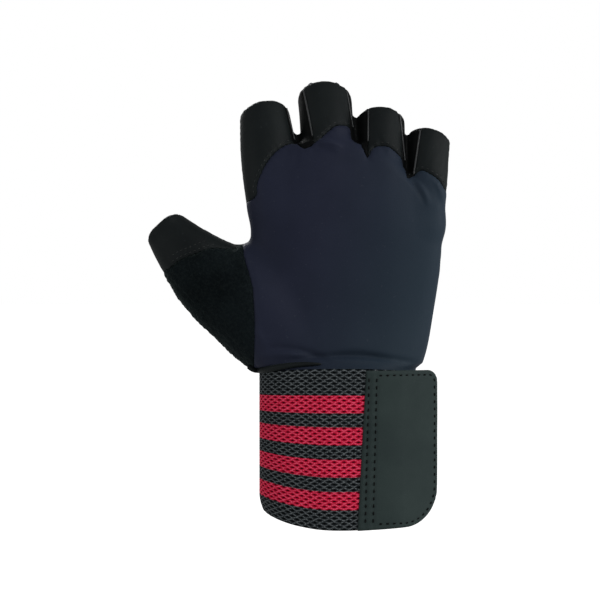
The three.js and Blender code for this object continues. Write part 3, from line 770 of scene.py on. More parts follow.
# Folds: ends in X and Z, height, width, face of the hand.
FOLDS = (
    ((31.5, 164.5), (39.8, 151.8), -1.0, 1.1, BACK),
    ((34.5, 163.0), (42.0, 150.5), 0.7, 1.3, BACK),
    ((44.0, 163.0), (48.5, 152.0), 0.8, 1.2, BACK),
    ((-15.8, 178.6), (1.5, 176.6), 1.2, 1.1, BACK),
    ((-15.0, 175.8), (-2.0, 174.3), -1.0, 1.2, BACK),
    ((-49.5, 131.0), (-45.2, 114.0), 0.5, 1.2, BACK),
    ((-52.5, 130.0), (-48.8, 113.0), -0.45, 1.3, BACK),
    ((-36.0, 84.5), (-4.0, 78.4), -1.3, 1.6, BACK),
    ((-40.0, 80.0), (-12.0, 81.2), 1.1, 1.6, BACK),
    ((-6.0, 80.8), (24.0, 79.0), -1.0, 1.8, BACK),
    ((-34.0, 77.0), (40.0, 76.6), -1.3, 1.3, BACK),
    ((-44.0, 96.0), (-34.0, 83.0), 0.5, 2.0, BACK),
    ((-58.0, 118.0), (-50.0, 128.0), 0.4, 1.5, BACK),
    ((16.5, 183.0), (21.5, 172.0), -0.35, 1.3, BACK),
    ((-20.0, 178.0), (-22.5, 166.0), -0.3, 1.5, BACK),
    ((-48.0, 122.0), (-40.0, 112.0), 0.5, 1.4, PALM),
    ((-46.0, 126.0), (-36.0, 121.0), -0.5, 1.4, PALM),
    ((-50.0, 116.0), (-44.0, 104.0), -0.4, 1.6, PALM),
    ((-16.0, 112.0), (22.0, 123.0), -0.5, 2.4, PALM),
    ((20.0, 118.0), (46.0, 128.0), -0.45, 2.2, PALM),
    ((-36.0, 160.0), (-10.0, 163.0), 0.3, 2.0, PALM),
)


def folds(points):
    """Rise of the cloth from its folds: soft ridges and valleys along short lines, fading to their ends."""
    x, y, z = points.T
    rise = np.zeros(len(x))
    for (x0, z0), (x1, z1), height, width, face in FOLDS:
        length = math.hypot(x1 - x0, z1 - z0)
        t = ((x - x0) * (x1 - x0) + (z - z0) * (z1 - z0)) / length**2
        off = ((x - x0) * (z1 - z0) - (z - z0) * (x1 - x0)) / length
        off = off + 0.06 * length * np.sin(math.pi * t)
        fade = np.clip(t * (1 - t) * 4, 0, 1)
        rise += np.where(y * face > 0, height * fade * np.exp(-((off / width) ** 2)), 0)
    return rise


def panel(name, thickness):
    """One cloth panel cut from the skin: pulled in and puckered along its seams, folded, and given a wall."""
    points, normals, triangles = hand_skin()
    distances, runs = panel_distances()
    points, triangles, distance, normals, knuckle, tip = cut(
        points, triangles, distances[name] + SEAM_LAP, normals, runs["fingers"], runs["tip"]
    )
    normals = normals / np.linalg.norm(normals, axis=1)[:, None]
    run = tip if name.startswith("thumb") else knuckle
    rise = folds(points) + SOFTNESS * ripple(*points.T, SOFTNESS_SIZE)
    rise -= SEAM_PULL * np.exp(-((distance / SEAM_PULL_REACH) ** 2))
    if name != "palm_panel":
        rise += PUCKER * np.cos(2 * math.pi * run / PUCKER_PITCH) * np.exp(-distance / PUCKER_REACH)
    rise *= np.clip((points[:, 2] - CALM_HEIGHT) / CALM_STEP, 0.1, 1)
    if name == "thumb_wipe":
        rise += LOOPS * ripple(*points.T, LOOPS_SIZE, 0.7)
    shell, faces = thicken(points + normals * rise[:, None], normals, triangles, distance, thickness)
    return bend(shell), faces


def tube(path, radius, sides=8):
    """A round tube with closed ends: circles square to a path, turned by one steady direction."""
    path = np.asarray(path, float)
    tangent = np.gradient(path, axis=0)
    tangent /= np.linalg.norm(tangent, axis=1)[:, None]
    steady = np.array([0.31, 0.87, 0.38])
    side = np.cross(tangent, steady)
    side /= np.linalg.norm(side, axis=1)[:, None]
    other = np.cross(tangent, side)
    angle = np.linspace(0, 2 * math.pi, sides, endpoint=False)
    radii = np.broadcast_to(radius, len(path))
    ring = np.cos(angle)[None, :, None] * side[:, None] + np.sin(angle)[None, :, None] * other[:, None]
    points = (path[:, None] + ring * radii[:, None, None]).reshape(-1, 3)
    faces = grid_faces(len(path), sides, wrap=True)
    points = np.concatenate([points, path[:1], path[-1:]])
    next_side = (np.arange(sides) + 1) % sides
    last = (len(path) - 1) * sides
    foot = np.stack([np.full(sides, len(points) - 2), next_side, np.arange(sides)], 1)
    head = np.stack([np.full(sides, len(points) - 1), last + np.arange(sides), last + next_side], 1)
    return points, np.concatenate([faces, foot, head])


def grid_faces(rows, columns, wrap=False):
    """Triangles over a grid of points, closed across its columns if it wraps."""
    row = np.arange(rows - 1)[:, None]
    column = np.arange(columns if wrap else columns - 1)[None, :]
    a = row * columns + column
    b = row * columns + (column + 1) % columns
    c = b + columns
    d = a + columns
    return np.concatenate([np.stack([a, b, c], -1).reshape(-1, 3), np.stack([a, c, d], -1).reshape(-1, 3)])


def join(parts):
    """Several meshes as one."""
    points, faces, start = [], [], 0
    for part_points, part_faces in parts:
        points.append(part_points)
        faces.append(part_faces + start)
        start += len(part_points)
    return np.concatenate(points), np.concatenate(faces)


def stitches(path, normals, pitch, length, radius, rise=0.1):
    """Thread along a path: a row of short thick-waisted spindles, spaced evenly by their run."""
    path = np.asarray(path, float)
    run = np.concatenate([[0], np.cumsum(np.linalg.norm(np.diff(path, axis=0), axis=1))])
    count = max(int(run[-1] / pitch), 1)
    centre = (np.arange(count) + 0.5) * run[-1] / count
    place = np.stack([np.interp(centre, run, path[:, axis]) for axis in range(3)], 1)
    ahead = np.stack([np.interp(centre + 0.4, run, path[:, axis]) for axis in range(3)], 1)
    behind = np.stack([np.interp(centre - 0.4, run, path[:, axis]) for axis in range(3)], 1)
    out = np.stack([np.interp(centre, run, normals[:, axis]) for axis in range(3)], 1)
    out /= np.linalg.norm(out, axis=1)[:, None]
    along = ahead - behind
    along /= np.linalg.norm(along, axis=1)[:, None]
    side = np.cross(along, out)
    at = np.array([-0.5, -0.36, 0, 0.36, 0.5]) * length
    thick = np.array([0.25, 0.8, 1, 0.8, 0.25]) * radius
    lift = np.array([-1.6, 0.1, 0.6, 0.1, -1.6]) * radius + rise
    sides, last = 6, 24
    angle = np.linspace(0, 2 * math.pi, sides, endpoint=False)
    ring = np.cos(angle)[:, None, None] * side[None] + np.sin(angle)[:, None, None] * out[None]
    spine = place[None] + at[:, None, None] * along[None] + lift[:, None, None] * out[None]
    points = spine[:, None] + ring[None] * thick[:, None, None, None]
    points = points.transpose(2, 0, 1, 3).reshape(-1, 3)
    foot = [(0, corner + 1, corner) for corner in range(1, sides - 1)]
    head = [(last, last + corner, last + corner + 1) for corner in range(1, sides - 1)]
    one = np.concatenate([grid_faces(len(at), sides, wrap=True), foot, head])
    faces = (one[None] + (last + sides) * np.arange(count)[:, None, None]).reshape(-1, 3)
    return points, faces


def skin_path(line, face, rise=0.0):
    """A line of the plane laid on the bent skin, and the outward directions along it."""
    line = np.asarray(line, float)
    y = on_skin(line[:, 0], line[:, 1], face)
    flat = np.stack([line[:, 0], y, line[:, 1]], 1)
    slope = gradient(flat)
    slope /= np.linalg.norm(slope, axis=1)[:, None]
    low = bend(flat + slope * rise)
    high = bend(flat + slope * (rise + 1))
    return low, high - low


def even_line(line, step):
    """A line of straight runs, walked at an even step."""
    line = np.asarray(line, float)
    run = np.concatenate([[0], np.cumsum(np.linalg.norm(np.diff(line, axis=0), axis=1))])
    at = np.linspace(0, run[-1], max(int(run[-1] / step), 1) + 1)
    return np.stack([np.interp(at, run, line[:, 0]), np.interp(at, run, line[:, 1])], 1)


def offset_line(line, distance):
    """A line of the plane moved sideways, to the left of its run."""
    line = np.asarray(line, float)
    steps = np.linalg.norm(np.diff(line, axis=0), axis=1)
    line = line[np.concatenate([[True], steps > 1e-6])]
    tangent = np.gradient(line, axis=0)
    tangent /= np.linalg.norm(tangent, axis=1)[:, None]
    return line + distance * np.stack([-tangent[:, 1], tangent[:, 0]], 1)


# Making objects and materials.


def make_piece(name, points, faces, material, slot, replaces=(), uv=None, values=None):
    """A mesh object from arrays in millimetres, riding on the root body, with its material; the slot is not
    used.
    """
    mesh = bpy.data.meshes.new(name)
    faces = np.ascontiguousarray(faces, np.int32)
    mesh.vertices.add(len(points))
    mesh.vertices.foreach_set("co", (np.asarray(points) * MM).astype(np.float32).ravel())
    mesh.loops.add(faces.size)
    mesh.loops.foreach_set("vertex_index", faces.ravel())
    mesh.polygons.add(len(faces))
    mesh.polygons.foreach_set("loop_start", np.arange(0, faces.size, faces.shape[1], dtype=np.int32))
    mesh.update(calc_edges=True)
    if uv is not None:
        layer = mesh.uv_layers.new(name="UVMap")
        layer.data.foreach_set("uv", np.asarray(uv, np.float32)[faces.ravel()].ravel())
    for key, value in (values or {}).items():
        attribute = mesh.attributes.new(key, "FLOAT", "POINT")
        attribute.data.foreach_set("value", np.asarray(value, np.float32))
    mesh.shade_smooth()
    mesh.materials.append(material)
    piece = bpy.data.objects.new(name, mesh)
    bpy.context.scene.collection.objects.link(piece)
    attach(piece, "root")
    if replaces:
        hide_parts(*replaces)
    return piece


class Nodes:
    """Adds nodes to one tree and links them."""

    def __init__(self, tree):
        self.tree = tree

    def add(self, kind, inputs=None, **settings):
        node = self.tree.nodes.new(kind)
        for key, value in settings.items():
            setattr(node, key, value)
        for key, value in (inputs or {}).items():
            self.feed(node.inputs[key], value)
        return node

    def feed(self, socket, value):
        if isinstance(value, bpy.types.NodeSocket):
            self.tree.links.new(value, socket)
        else:
            socket.default_value = value

    def math(self, operation, *values, clamp=False):
        node = self.add("ShaderNodeMath", dict(enumerate(values)), operation=operation, use_clamp=clamp)
        return node.outputs[0]

    def vector(self, operation, *values, scale=None):
        node = self.add("ShaderNodeVectorMath", dict(enumerate(values)), operation=operation)
        if scale is not None:
            self.feed(node.inputs["Scale"], scale)
        return node.outputs["Value" if operation in ("DOT_PRODUCT", "LENGTH") else "Vector"]

    def noise(self, vector, scale, detail=2.0, roughness=0.5):
        inputs = {"Vector": vector, "Scale": scale, "Detail": detail, "Roughness": roughness}
        return self.add("ShaderNodeTexNoise", inputs).outputs["Fac"]

    def fit(self, value, low, high, to_low=0.0, to_high=1.0):
        inputs = {"Value": value, "From Min": low, "From Max": high, "To Min": to_low, "To Max": to_high}
        return self.add("ShaderNodeMapRange", inputs, interpolation_type="SMOOTHSTEP").outputs["Result"]

    def mix(self, factor, first, second):
        node = self.add("ShaderNodeMix", data_type="RGBA")
        self.feed(node.inputs[0], factor)
        self.feed(node.inputs[6], first if isinstance(first, bpy.types.NodeSocket) else (*first, 1))
        self.feed(node.inputs[7], second if isinstance(second, bpy.types.NodeSocket) else (*second, 1))
        return node.outputs[2]


def group_of(name, inputs, outputs):
    """A new shader node group: inputs with their defaults, none for a vector, and outputs that are values."""
    tree = bpy.data.node_groups.new(name, "ShaderNodeTree")
    for key, default in inputs.items():
        kind = "NodeSocketVector" if default is None else "NodeSocketFloat"
        socket = tree.interface.new_socket(key, in_out="INPUT", socket_type=kind)
        if default is not None:
            socket.default_value = default
    for key in outputs:
        tree.interface.new_socket(key, in_out="OUTPUT", socket_type="NodeSocketFloat")
    nodes = Nodes(tree)
    source = nodes.add("NodeGroupInput")
    sink = nodes.add("NodeGroupOutput")
    return tree, nodes, source.outputs, sink.inputs


@functools.cache
def cloth_group():
    """Cloth: a fine knit or nap height, a slow mottle, and sparse lint, from a position in metres."""
    tree, nodes, source, sink = group_of(
        "Cloth", {"Vector": None, "Fineness": 1200.0, "Nap": 0.5}, ("Height", "Mottle", "Lint")
    )
    fine = nodes.noise(source["Vector"], source["Fineness"], 3, 0.65)
    coarse = nodes.noise(source["Vector"], nodes.math("MULTIPLY", source["Fineness"], 0.22), 2, 0.5)
    nodes.feed(sink["Height"], nodes.math("MULTIPLY_ADD", coarse, source["Nap"], fine))
    slow = nodes.noise(source["Vector"], 38, 3, 0.55)
    nodes.feed(sink["Mottle"], nodes.fit(slow, 0.3, 0.7))
    specks = nodes.noise(source["Vector"], nodes.math("MULTIPLY", source["Fineness"], 0.5), 1, 0.4)
    nodes.feed(sink["Lint"], nodes.fit(specks, 0.7, 0.82))
    return tree


@functools.cache
def honeycomb_group():
    """Honeycomb: 1 on the walls between six-sided cells, from a position in millimetres."""
    tree, nodes, source, sink = group_of(
        "Honeycomb", {"Vector": None, "Pitch": COMB_PITCH, "Wall": COMB_WALL}, ("Walls", "Height")
    )
    root = math.sqrt(3)
    cell, half = (1.0, root, 1.0), (0.5, root / 2, 0.5)
    flat, clear = (1.0, 1.0, 0.0), (200.0, 200 * root, 0.0)
    soft, slope = 0.15, 0.4

    def from_middle(place):
        wrapped = nodes.vector("MODULO", nodes.vector("ADD", place, clear), cell)
        return nodes.vector("MULTIPLY", nodes.vector("SUBTRACT", wrapped, half), flat)

    unit = nodes.vector("SCALE", source["Vector"], scale=nodes.math("DIVIDE", 1.0, source["Pitch"]))
    unit = nodes.vector("MULTIPLY", unit, flat)
    first = from_middle(unit)
    second = from_middle(nodes.vector("ADD", unit, half))
    nearer = nodes.math("LESS_THAN", nodes.vector("LENGTH", first), nodes.vector("LENGTH", second))
    choice = nodes.add("ShaderNodeMix", {0: nearer}, data_type="VECTOR")
    nodes.feed(choice.inputs[4], second)
    nodes.feed(choice.inputs[5], first)
    size = nodes.vector("ABSOLUTE", choice.outputs[1])
    straight = nodes.vector("DOT_PRODUCT", size, (1.0, 0.0, 0.0))
    slant = nodes.vector("DOT_PRODUCT", size, (0.5, root / 2, 0.0))
    inside = nodes.math("SUBTRACT", 0.5, nodes.math("MAXIMUM", straight, slant))
    out = nodes.math("MULTIPLY", inside, source["Pitch"])
    half_wall = nodes.math("MULTIPLY", source["Wall"], 0.5)
    low, high, foot = (nodes.math("ADD", half_wall, more) for more in (-soft, soft, slope))
    nodes.feed(sink["Walls"], nodes.fit(out, high, low))
    nodes.feed(sink["Height"], nodes.fit(out, foot, 0.0))
    return tree


@functools.cache
def weave_group():
    """Elastic weave: rows of yarn that wave against their neighbours and leave lens-shaped holes.

    From a position in millimetres, the height of the yarns, a mask of 1 on them that leaves painted shade in
    the holes, and a mask on their crests for painted highlights.
    """
    tree, nodes, source, sink = group_of(
        "Elastic weave", {"Vector": None, "Wave": YARN_WAVE, "Row": YARN_ROW}, ("Yarn", "Crest", "Height")
    )
    parts = nodes.add("ShaderNodeSeparateXYZ", {"Vector": source["Vector"]}).outputs
    phase = nodes.math("DIVIDE", nodes.math("MULTIPLY", parts[0], 2 * math.pi), source["Wave"])
    swing = nodes.math("MULTIPLY", nodes.math("COSINE", phase), YARN_SWING)
    height = nodes.math("DIVIDE", parts[1], source["Row"])
    ridges = []
    for shift, sign in ((0.0, -1.0), (1.0, 1.0)):
        moved = nodes.math("MULTIPLY_ADD", swing, sign, nodes.math("ADD", height, 100 + shift))
        off = nodes.math("ABSOLUTE", nodes.math("SUBTRACT", nodes.math("MODULO", moved, 2.0), 1.0))
        ridges.append(nodes.math("SUBTRACT", 1.0, off))
    off = nodes.math("SUBTRACT", 1.0, nodes.math("MAXIMUM", *ridges))
    nodes.feed(sink["Yarn"], nodes.fit(off, 0.62, 0.42))
    nodes.feed(sink["Crest"], nodes.fit(off, 0.26, 0.0))
    nodes.feed(sink["Height"], nodes.fit(off, 0.66, 0.0))
    return tree


def new_material(name):
    """A material with only its shader, its output and a helper for the rest."""
    material = bpy.data.materials.new(name)
    material.use_nodes = True
    material.node_tree.nodes.clear()
    nodes = Nodes(material.node_tree)
    shader = nodes.add("ShaderNodeBsdfPrincipled")
    output = nodes.add("ShaderNodeOutputMaterial")
    nodes.feed(output.inputs["Surface"], shader.outputs["BSDF"])
    return material, nodes, shader.inputs


def finish_shader(nodes, shader, height, distance, strength=1.0, **constants):
    """Sets the shader's constant values and bends its normal by a height."""
    for key, value in constants.items():
        shader[key.replace("_", " ")].default_value = value
    bump = nodes.add("ShaderNodeBump", {"Height": height, "Distance": distance, "Strength": strength})
    nodes.feed(shader["Normal"], bump.outputs["Normal"])


@functools.cache
def cloth_material(name):
    """A cloth's finish from its row in the settings: two tones mottled together, lint, nap and sheen."""
    row = CLOTHS[name]
    material, nodes, shader = new_material(name)
    place = nodes.add("ShaderNodeTexCoord").outputs["Object"]
    across_x, toward_palm, upward = nodes.add("ShaderNodeSeparateXYZ", {"Vector": place}).outputs
    cloth = nodes.add("ShaderNodeGroup", node_tree=cloth_group())
    nodes.feed(cloth.inputs["Vector"], place)
    nodes.feed(cloth.inputs["Fineness"], row["fineness"])
    nodes.feed(cloth.inputs["Nap"], row["nap"])
    tone = nodes.mix(cloth.outputs["Mottle"], row["dark"], row["light"])
    # Painted light: the tone grows lighter toward the little finger and the wrist, where the light falls on
    # the cloth.
    if "side" in row:
        toward = nodes.fit(nodes.math("MULTIPLY_ADD", upward, -0.35, across_x), -0.07, 0.01)
        tone = nodes.mix(toward, tone, row["side"])
    tone = nodes.mix(nodes.math("MULTIPLY", cloth.outputs["Lint"], row["lint"]), tone, LINT)
    if "loops" in row:
        loops = nodes.fit(nodes.noise(place, row["loops"], 2, 0.6), 0.44, 0.62)
        # Painted light: the lighter loop tips, the towelling's own colour, are shown mostly on the palm's
        # face of the thumb, where the light falls, and hardly on its back.
        raised = nodes.fit(toward_palm, -0.006, 0.006, 0.05, 1.0)
        tone = nodes.mix(nodes.math("MULTIPLY", loops, raised), tone, LOOP_TIPS)
    nodes.feed(shader["Base Color"], tone)
    rough = nodes.fit(cloth.outputs["Height"], 0.2, 1.0, row["rough"] + 0.05, row["rough"] - 0.07)
    nodes.feed(shader["Roughness"], rough)
    finish_shader(nodes, shader, cloth.outputs["Height"], row["relief"] * MM,
                  Specular_IOR_Level=row["gloss"], Sheen_Weight=row["sheen"], Sheen_Roughness=0.45,
                  Sheen_Tint=(*row["sheen_tint"], 1))
    return material


# Cloths: dark and light tones and a painted lighter tone toward the little finger and the wrist, where the
# light falls, fineness of the knit per metre, share of nap in its height, share of lint or looped tips,
# roughness, relief in millimetres, gloss and sheen.
LINT = (0.16, 0.17, 0.18)
LOOP_TIPS = (0.055, 0.074, 0.068)
CLOTHS = {
    "navy_jersey": {
        "dark": (0.0105, 0.0135, 0.0280), "light": (0.0132, 0.0165, 0.0335), "side": (0.0150, 0.0270, 0.0400),
        "fineness": 1500, "nap": 0.3, "lint": 0.05, "rough": 0.62, "relief": 0.05, "gloss": 0.12,
        "sheen": 0.05, "sheen_tint": (0.6, 0.68, 1),
    },
    "black_jersey": {
        "dark": (0.0026, 0.0046, 0.0053), "light": (0.0052, 0.0080, 0.0086),
        "fineness": 1500, "nap": 0.3, "lint": 0.05, "rough": 0.62, "relief": 0.05, "gloss": 0.15,
        "sheen": 0.03, "sheen_tint": (0.7, 0.85, 0.8),
    },
    "towelling": {
        "dark": (0.0018, 0.0034, 0.0042), "light": (0.0046, 0.0075, 0.0090), "loops": 850,
        "fineness": 1500, "nap": 1.4, "lint": 0.0, "rough": 0.9, "relief": 0.6, "gloss": 0.05,
        "sheen": 0.05, "sheen_tint": (0.65, 0.9, 0.85),
    },
    "palm_suede": {
        "dark": (0.0028, 0.0050, 0.0090), "light": (0.0052, 0.0105, 0.0165),
        "fineness": 2200, "nap": 0.6, "lint": 0.02, "rough": 0.78, "relief": 0.05, "gloss": 0.1,
        "sheen": 0.04, "sheen_tint": (0.6, 0.75, 1),
    },
    # Gusset strips: tones set darker than the knit itself, partly its own near black and partly painted shade
    # between the fingers.
    "gusset_knit": {
        "dark": (0.0012, 0.0015, 0.0016), "light": (0.0025, 0.003, 0.0032),
        "fineness": 1300, "nap": 0.3, "lint": 0.05, "rough": 0.6, "relief": 0.06, "gloss": 0.06,
        "sheen": 0.02, "sheen_tint": (0.8, 0.9, 1),
    },
    "tab_suede": {
        "dark": (0.0180, 0.0290, 0.0285), "light": (0.0235, 0.0365, 0.0350),
        "fineness": 2000, "nap": 0.5, "lint": 0.05, "rough": 0.7, "relief": 0.04, "gloss": 0.14,
        "sheen": 0.05, "sheen_tint": (0.75, 1, 0.95),
    },
    "hook_tape": {
        "dark": (0.006, 0.008, 0.008), "light": (0.016, 0.021, 0.02),
        "fineness": 800, "nap": 1.6, "lint": 0.3, "rough": 0.9, "relief": 0.5, "gloss": 0.2,
        "sheen": 0.1, "sheen_tint": (0.8, 1, 1),
    },
    "thread": {
        "dark": (0.007, 0.009, 0.009), "light": (0.012, 0.015, 0.015),
        "fineness": 2500, "nap": 0.5, "lint": 0.0, "rough": 0.5, "relief": 0.03, "gloss": 0.4,
        "sheen": 0.0, "sheen_tint": (1, 1, 1),
    },
    "tab_thread": {
        "dark": (0.0014, 0.0018, 0.002), "light": (0.003, 0.0036, 0.004),
        "fineness": 2500, "nap": 0.5, "lint": 0.0, "rough": 0.7, "relief": 0.03, "gloss": 0.1,
        "sheen": 0.0, "sheen_tint": (1, 1, 1),
    },
    "piping": {
        "dark": (0.02, 0.022, 0.024), "light": (0.04, 0.042, 0.044),
        "fineness": 2500, "nap": 0.5, "lint": 0.1, "rough": 0.5, "relief": 0.05, "gloss": 0.4,
        "sheen": 0.1, "sheen_tint": (1, 1, 1),
    },
}

# Webbing and print: the painted highlights on the yarns' crests and the painted shade in the holes between
# them, for ground and stripes, the print's own dark colour and its painted highlight, and the cloth under it.
GROUND_CREST_HIGHLIGHT = (0.19, 0.21, 0.215)
GROUND_HOLE_SHADE = (0.0004, 0.0006, 0.0006)
STRIPE_CREST_HIGHLIGHT = (0.95, 0.15, 0.26)
STRIPE_HOLE_SHADE = (0.022, 0.0006, 0.002)
PRINT_QUIET = (0.013, 0.018, 0.022)
PRINT_PAINTED_HIGHLIGHT = (0.86, 0.88, 0.90)
PAD_CLOTH = (0.0038, 0.0060, 0.0085)


def flat_place(nodes):
    """A piece's own flat coordinates in millimetres."""
    return nodes.vector("SCALE", nodes.add("ShaderNodeUVMap", uv_map="UVMap").outputs["UV"], scale=1 / MM)


@functools.cache
def webbing_material(stripe_colour, ground_colour):
    """Elastic webbing: four stripes across its height, on yarns with painted highlights on their crests and
    painted shade in the holes between them.
    """
    material, nodes, shader = new_material("elastic_webbing")
    place = flat_place(nodes)
    weave = nodes.add("ShaderNodeGroup", node_tree=weave_group())
    nodes.feed(weave.inputs["Vector"], place)
    height = nodes.add("ShaderNodeSeparateXYZ", {"Vector": place}).outputs[1]
    wobble = nodes.noise(place, 0.35, 1)
    height = nodes.math("MULTIPLY_ADD", nodes.math("SUBTRACT", wobble, 0.5), 0.5, height)
    stripes = []
    for centre, half in STRIPES:
        off = nodes.math("ABSOLUTE", nodes.math("SUBTRACT", height, centre))
        stripes.append(nodes.fit(off, half + 0.25, half - 0.25))
    stripe = functools.reduce(lambda a, b: nodes.math("MAXIMUM", a, b), stripes)
    fleck = nodes.noise(place, 1.3, 2)
    pale_ground = tuple(2.4 * part for part in ground_colour)
    deep_stripe = tuple(0.65 * part for part in stripe_colour)
    ground = nodes.mix(nodes.fit(fleck, 0.35, 0.65), ground_colour, pale_ground)
    crimson = nodes.mix(nodes.fit(fleck, 0.3, 0.7), deep_stripe, stripe_colour)
    yarn = nodes.mix(stripe, ground, crimson)
    # Painted highlight: a lighter colour on the yarns' crests, flecked, where the light would catch them.
    crest_highlight_colour = nodes.mix(stripe, GROUND_CREST_HIGHLIGHT, STRIPE_CREST_HIGHLIGHT)
    crest_highlight_mask = nodes.math("MULTIPLY", weave.outputs["Crest"], nodes.fit(fleck, 0.38, 0.6, 0.15, 0.9))
    yarn = nodes.mix(crest_highlight_mask, yarn, crest_highlight_colour)
    # Painted shade: the holes between the yarns are near black, for the shade that falls in them.
    hole_shade_colour = nodes.mix(stripe, GROUND_HOLE_SHADE, STRIPE_HOLE_SHADE)
    nodes.feed(shader["Base Color"], nodes.mix(weave.outputs["Yarn"], hole_shade_colour, yarn))
    strand = nodes.math("MULTIPLY_ADD", fleck, 0.25, weave.outputs["Height"])
    finish_shader(nodes, shader, strand, 0.35 * MM, 0.9, Roughness=0.8, Specular_IOR_Level=0.05)
    return material


@functools.cache
def grip_material():
    """Padded cloth under a glossy printed honeycomb, with a painted highlight on the print where it would
    catch the light and painted glints scattered over it.
    """
    material, nodes, shader = new_material("grip_print")
    place = flat_place(nodes)
    comb = nodes.add("ShaderNodeGroup", node_tree=honeycomb_group())
    nodes.feed(comb.inputs["Vector"], place)
    painted_highlight_mask = nodes.add("ShaderNodeAttribute", attribute_name="painted_highlight").outputs["Fac"]
    # Painted highlight: the honeycomb's walls are drawn wider where the painted highlight lies.
    nodes.feed(comb.inputs["Wall"], nodes.fit(painted_highlight_mask, 0.05, 0.6, 0.5, 1.0))
    inside = nodes.add("ShaderNodeAttribute", attribute_name="printed").outputs["Fac"]
    walls = nodes.math("MULTIPLY", comb.outputs["Walls"], inside)
    fleck = nodes.fit(nodes.noise(place, 0.8, 2, 0.6), 0.5, 0.66)
    # Painted glints: scattered light flecks on the print, mixed with the painted highlight into the print's
    # colour.
    painted_glints = nodes.math("MULTIPLY", fleck, 0.24)
    painted_print_light = nodes.math("MAXIMUM", painted_highlight_mask, painted_glints, clamp=True)
    print_with_painted_highlight = nodes.mix(painted_print_light, PRINT_QUIET, PRINT_PAINTED_HIGHLIGHT)
    nodes.feed(shader["Base Color"], nodes.mix(walls, PAD_CLOTH, print_with_painted_highlight))
    nodes.feed(shader["Roughness"], nodes.fit(walls, 0.0, 1.0, 0.85, 0.32))
    nodes.feed(shader["Coat Weight"], nodes.math("MULTIPLY", walls, 0.5))
    relief = comb.outputs["Height"]
    finish_shader(nodes, shader, relief, 0.3 * MM, Specular_IOR_Level=0.05, Coat_Roughness=0.3)
    return material


# Panels that share their edges: piece, node, cloth, wall in millimetres.
PANELS = (
    ("back_cloth", "back_panel", "navy_jersey", 1.4),
    ("index_cloth", "index_back", "black_jersey", 1.4),
    ("middle_cloth", "middle_back", "black_jersey", 1.4),
    ("ring_cloth", "ring_back", "black_jersey", 1.4),
    ("little_cloth", "little_back", "black_jersey", 1.4),
    ("thumb_end_cloth", "thumb_tip", "black_jersey", 1.4),
    ("thumb_towelling", "thumb_wipe", "towelling", 1.5),
    ("palm_cloth", "palm_panel", "palm_suede", 1.4),
    ("strip_index_middle", "gusset_index_middle", "gusset_knit", 1.3),
    ("strip_middle_ring", "gusset_middle_ring", "gusset_knit", 1.3),
    ("strip_ring_little", "gusset_ring_little", "gusset_knit", 1.3),
)


def cuff_half(side):
    """Half of the cuff inside the wrap: a wall on the wrist's oval, from its lower edge up to the hand."""
    rows, columns = 12, 60
    angle = np.linspace(0.004, math.pi - 0.004, columns) * side
    height = np.repeat(np.linspace(CUFF_FOOT, WRAP_HEIGHT, rows), columns)
    walls = []
    for offset in (-0.1, -1.5):
        x, y = wrist_point(angle, offset)
        walls.append(np.stack([np.tile(x, rows), np.tile(y, rows), height], 1))
    count = rows * columns
    grid = np.arange(count).reshape(rows, columns)
    loop = np.concatenate([grid[0, :-1], grid[:-1, -1], grid[-1, :0:-1], grid[:0:-1, 0]])
    after = np.roll(loop, -1)
    edge = [np.stack([after, loop, loop + count], 1), np.stack([after, loop + count, after + count], 1)]
    outer_faces = grid_faces(rows, columns)
    faces = np.concatenate([outer_faces, outer_faces[:, ::-1] + count, *edge])
    return np.concatenate(walls), faces if side > 0 else faces[:, ::-1]


def wrist_point(angle, offset):
    """X and Y on the wrist's oval, grown by an offset."""
    c, s = np.cos(angle), np.sin(angle)
    x = (WRIST[0] + offset) * np.sign(c) * np.abs(c) ** (2 / WRIST_POWER)
    y = (WRIST[1] + offset) * np.sign(s) * np.abs(s) ** (2 / WRIST_POWER)
    return x, y


def wrist_angle(x, offset):
    """The angle on the back of the wrist's oval at some X."""
    share = abs(x) / (WRIST[0] + offset)
    return -math.pi / 2 + math.copysign(math.asin(share ** (WRIST_POWER / 2)), x)


def band_lift(angle):
    """How far the wrap lies off the cuff: a little, and more where it runs up over its own start."""
    climb, length = 1.5 * math.pi - 0.45, 0.42
    return BAND_RISE + BAND_LAP_RISE * ease((angle - climb) / length)


def band_line():
    """The wrap's way once round the cuff: run, angle, X and Y of its columns, and the outward direction."""
    fine = np.linspace(wrist_angle(BAND_START, 0), wrist_angle(BAND_END, BAND_LAP_RISE) + 2 * math.pi, 2400)
    x, y = wrist_point(fine, band_lift(fine))
    run = np.concatenate([[0], np.cumsum(np.hypot(np.diff(x), np.diff(y)))])
    at = np.linspace(0, run[-1], int(run[-1] / BAND_STEP))
    angle = np.interp(at, run, fine)
    x, y = wrist_point(angle, band_lift(angle))
    dx, dy = np.gradient(x), np.gradient(y)
    size = np.hypot(dx, dy)
    return at, angle, x, y, dy / size, -dx / size


def yarn_relief(run, height):
    """Height of the yarns from 0 to 1: rows that wave against their neighbours."""
    swing = YARN_SWING * np.cos(2 * math.pi * run / YARN_WAVE)
    yarn = 0
    for shift, sign in ((0, -1), (1, 1)):
        off = np.abs(np.mod(height / YARN_ROW + sign * swing + 100 + shift, 2) - 1)
        yarn = np.maximum(yarn, 1 - off)
    return np.clip((yarn - 0.36) / 0.6, 0, 1) ** 0.6


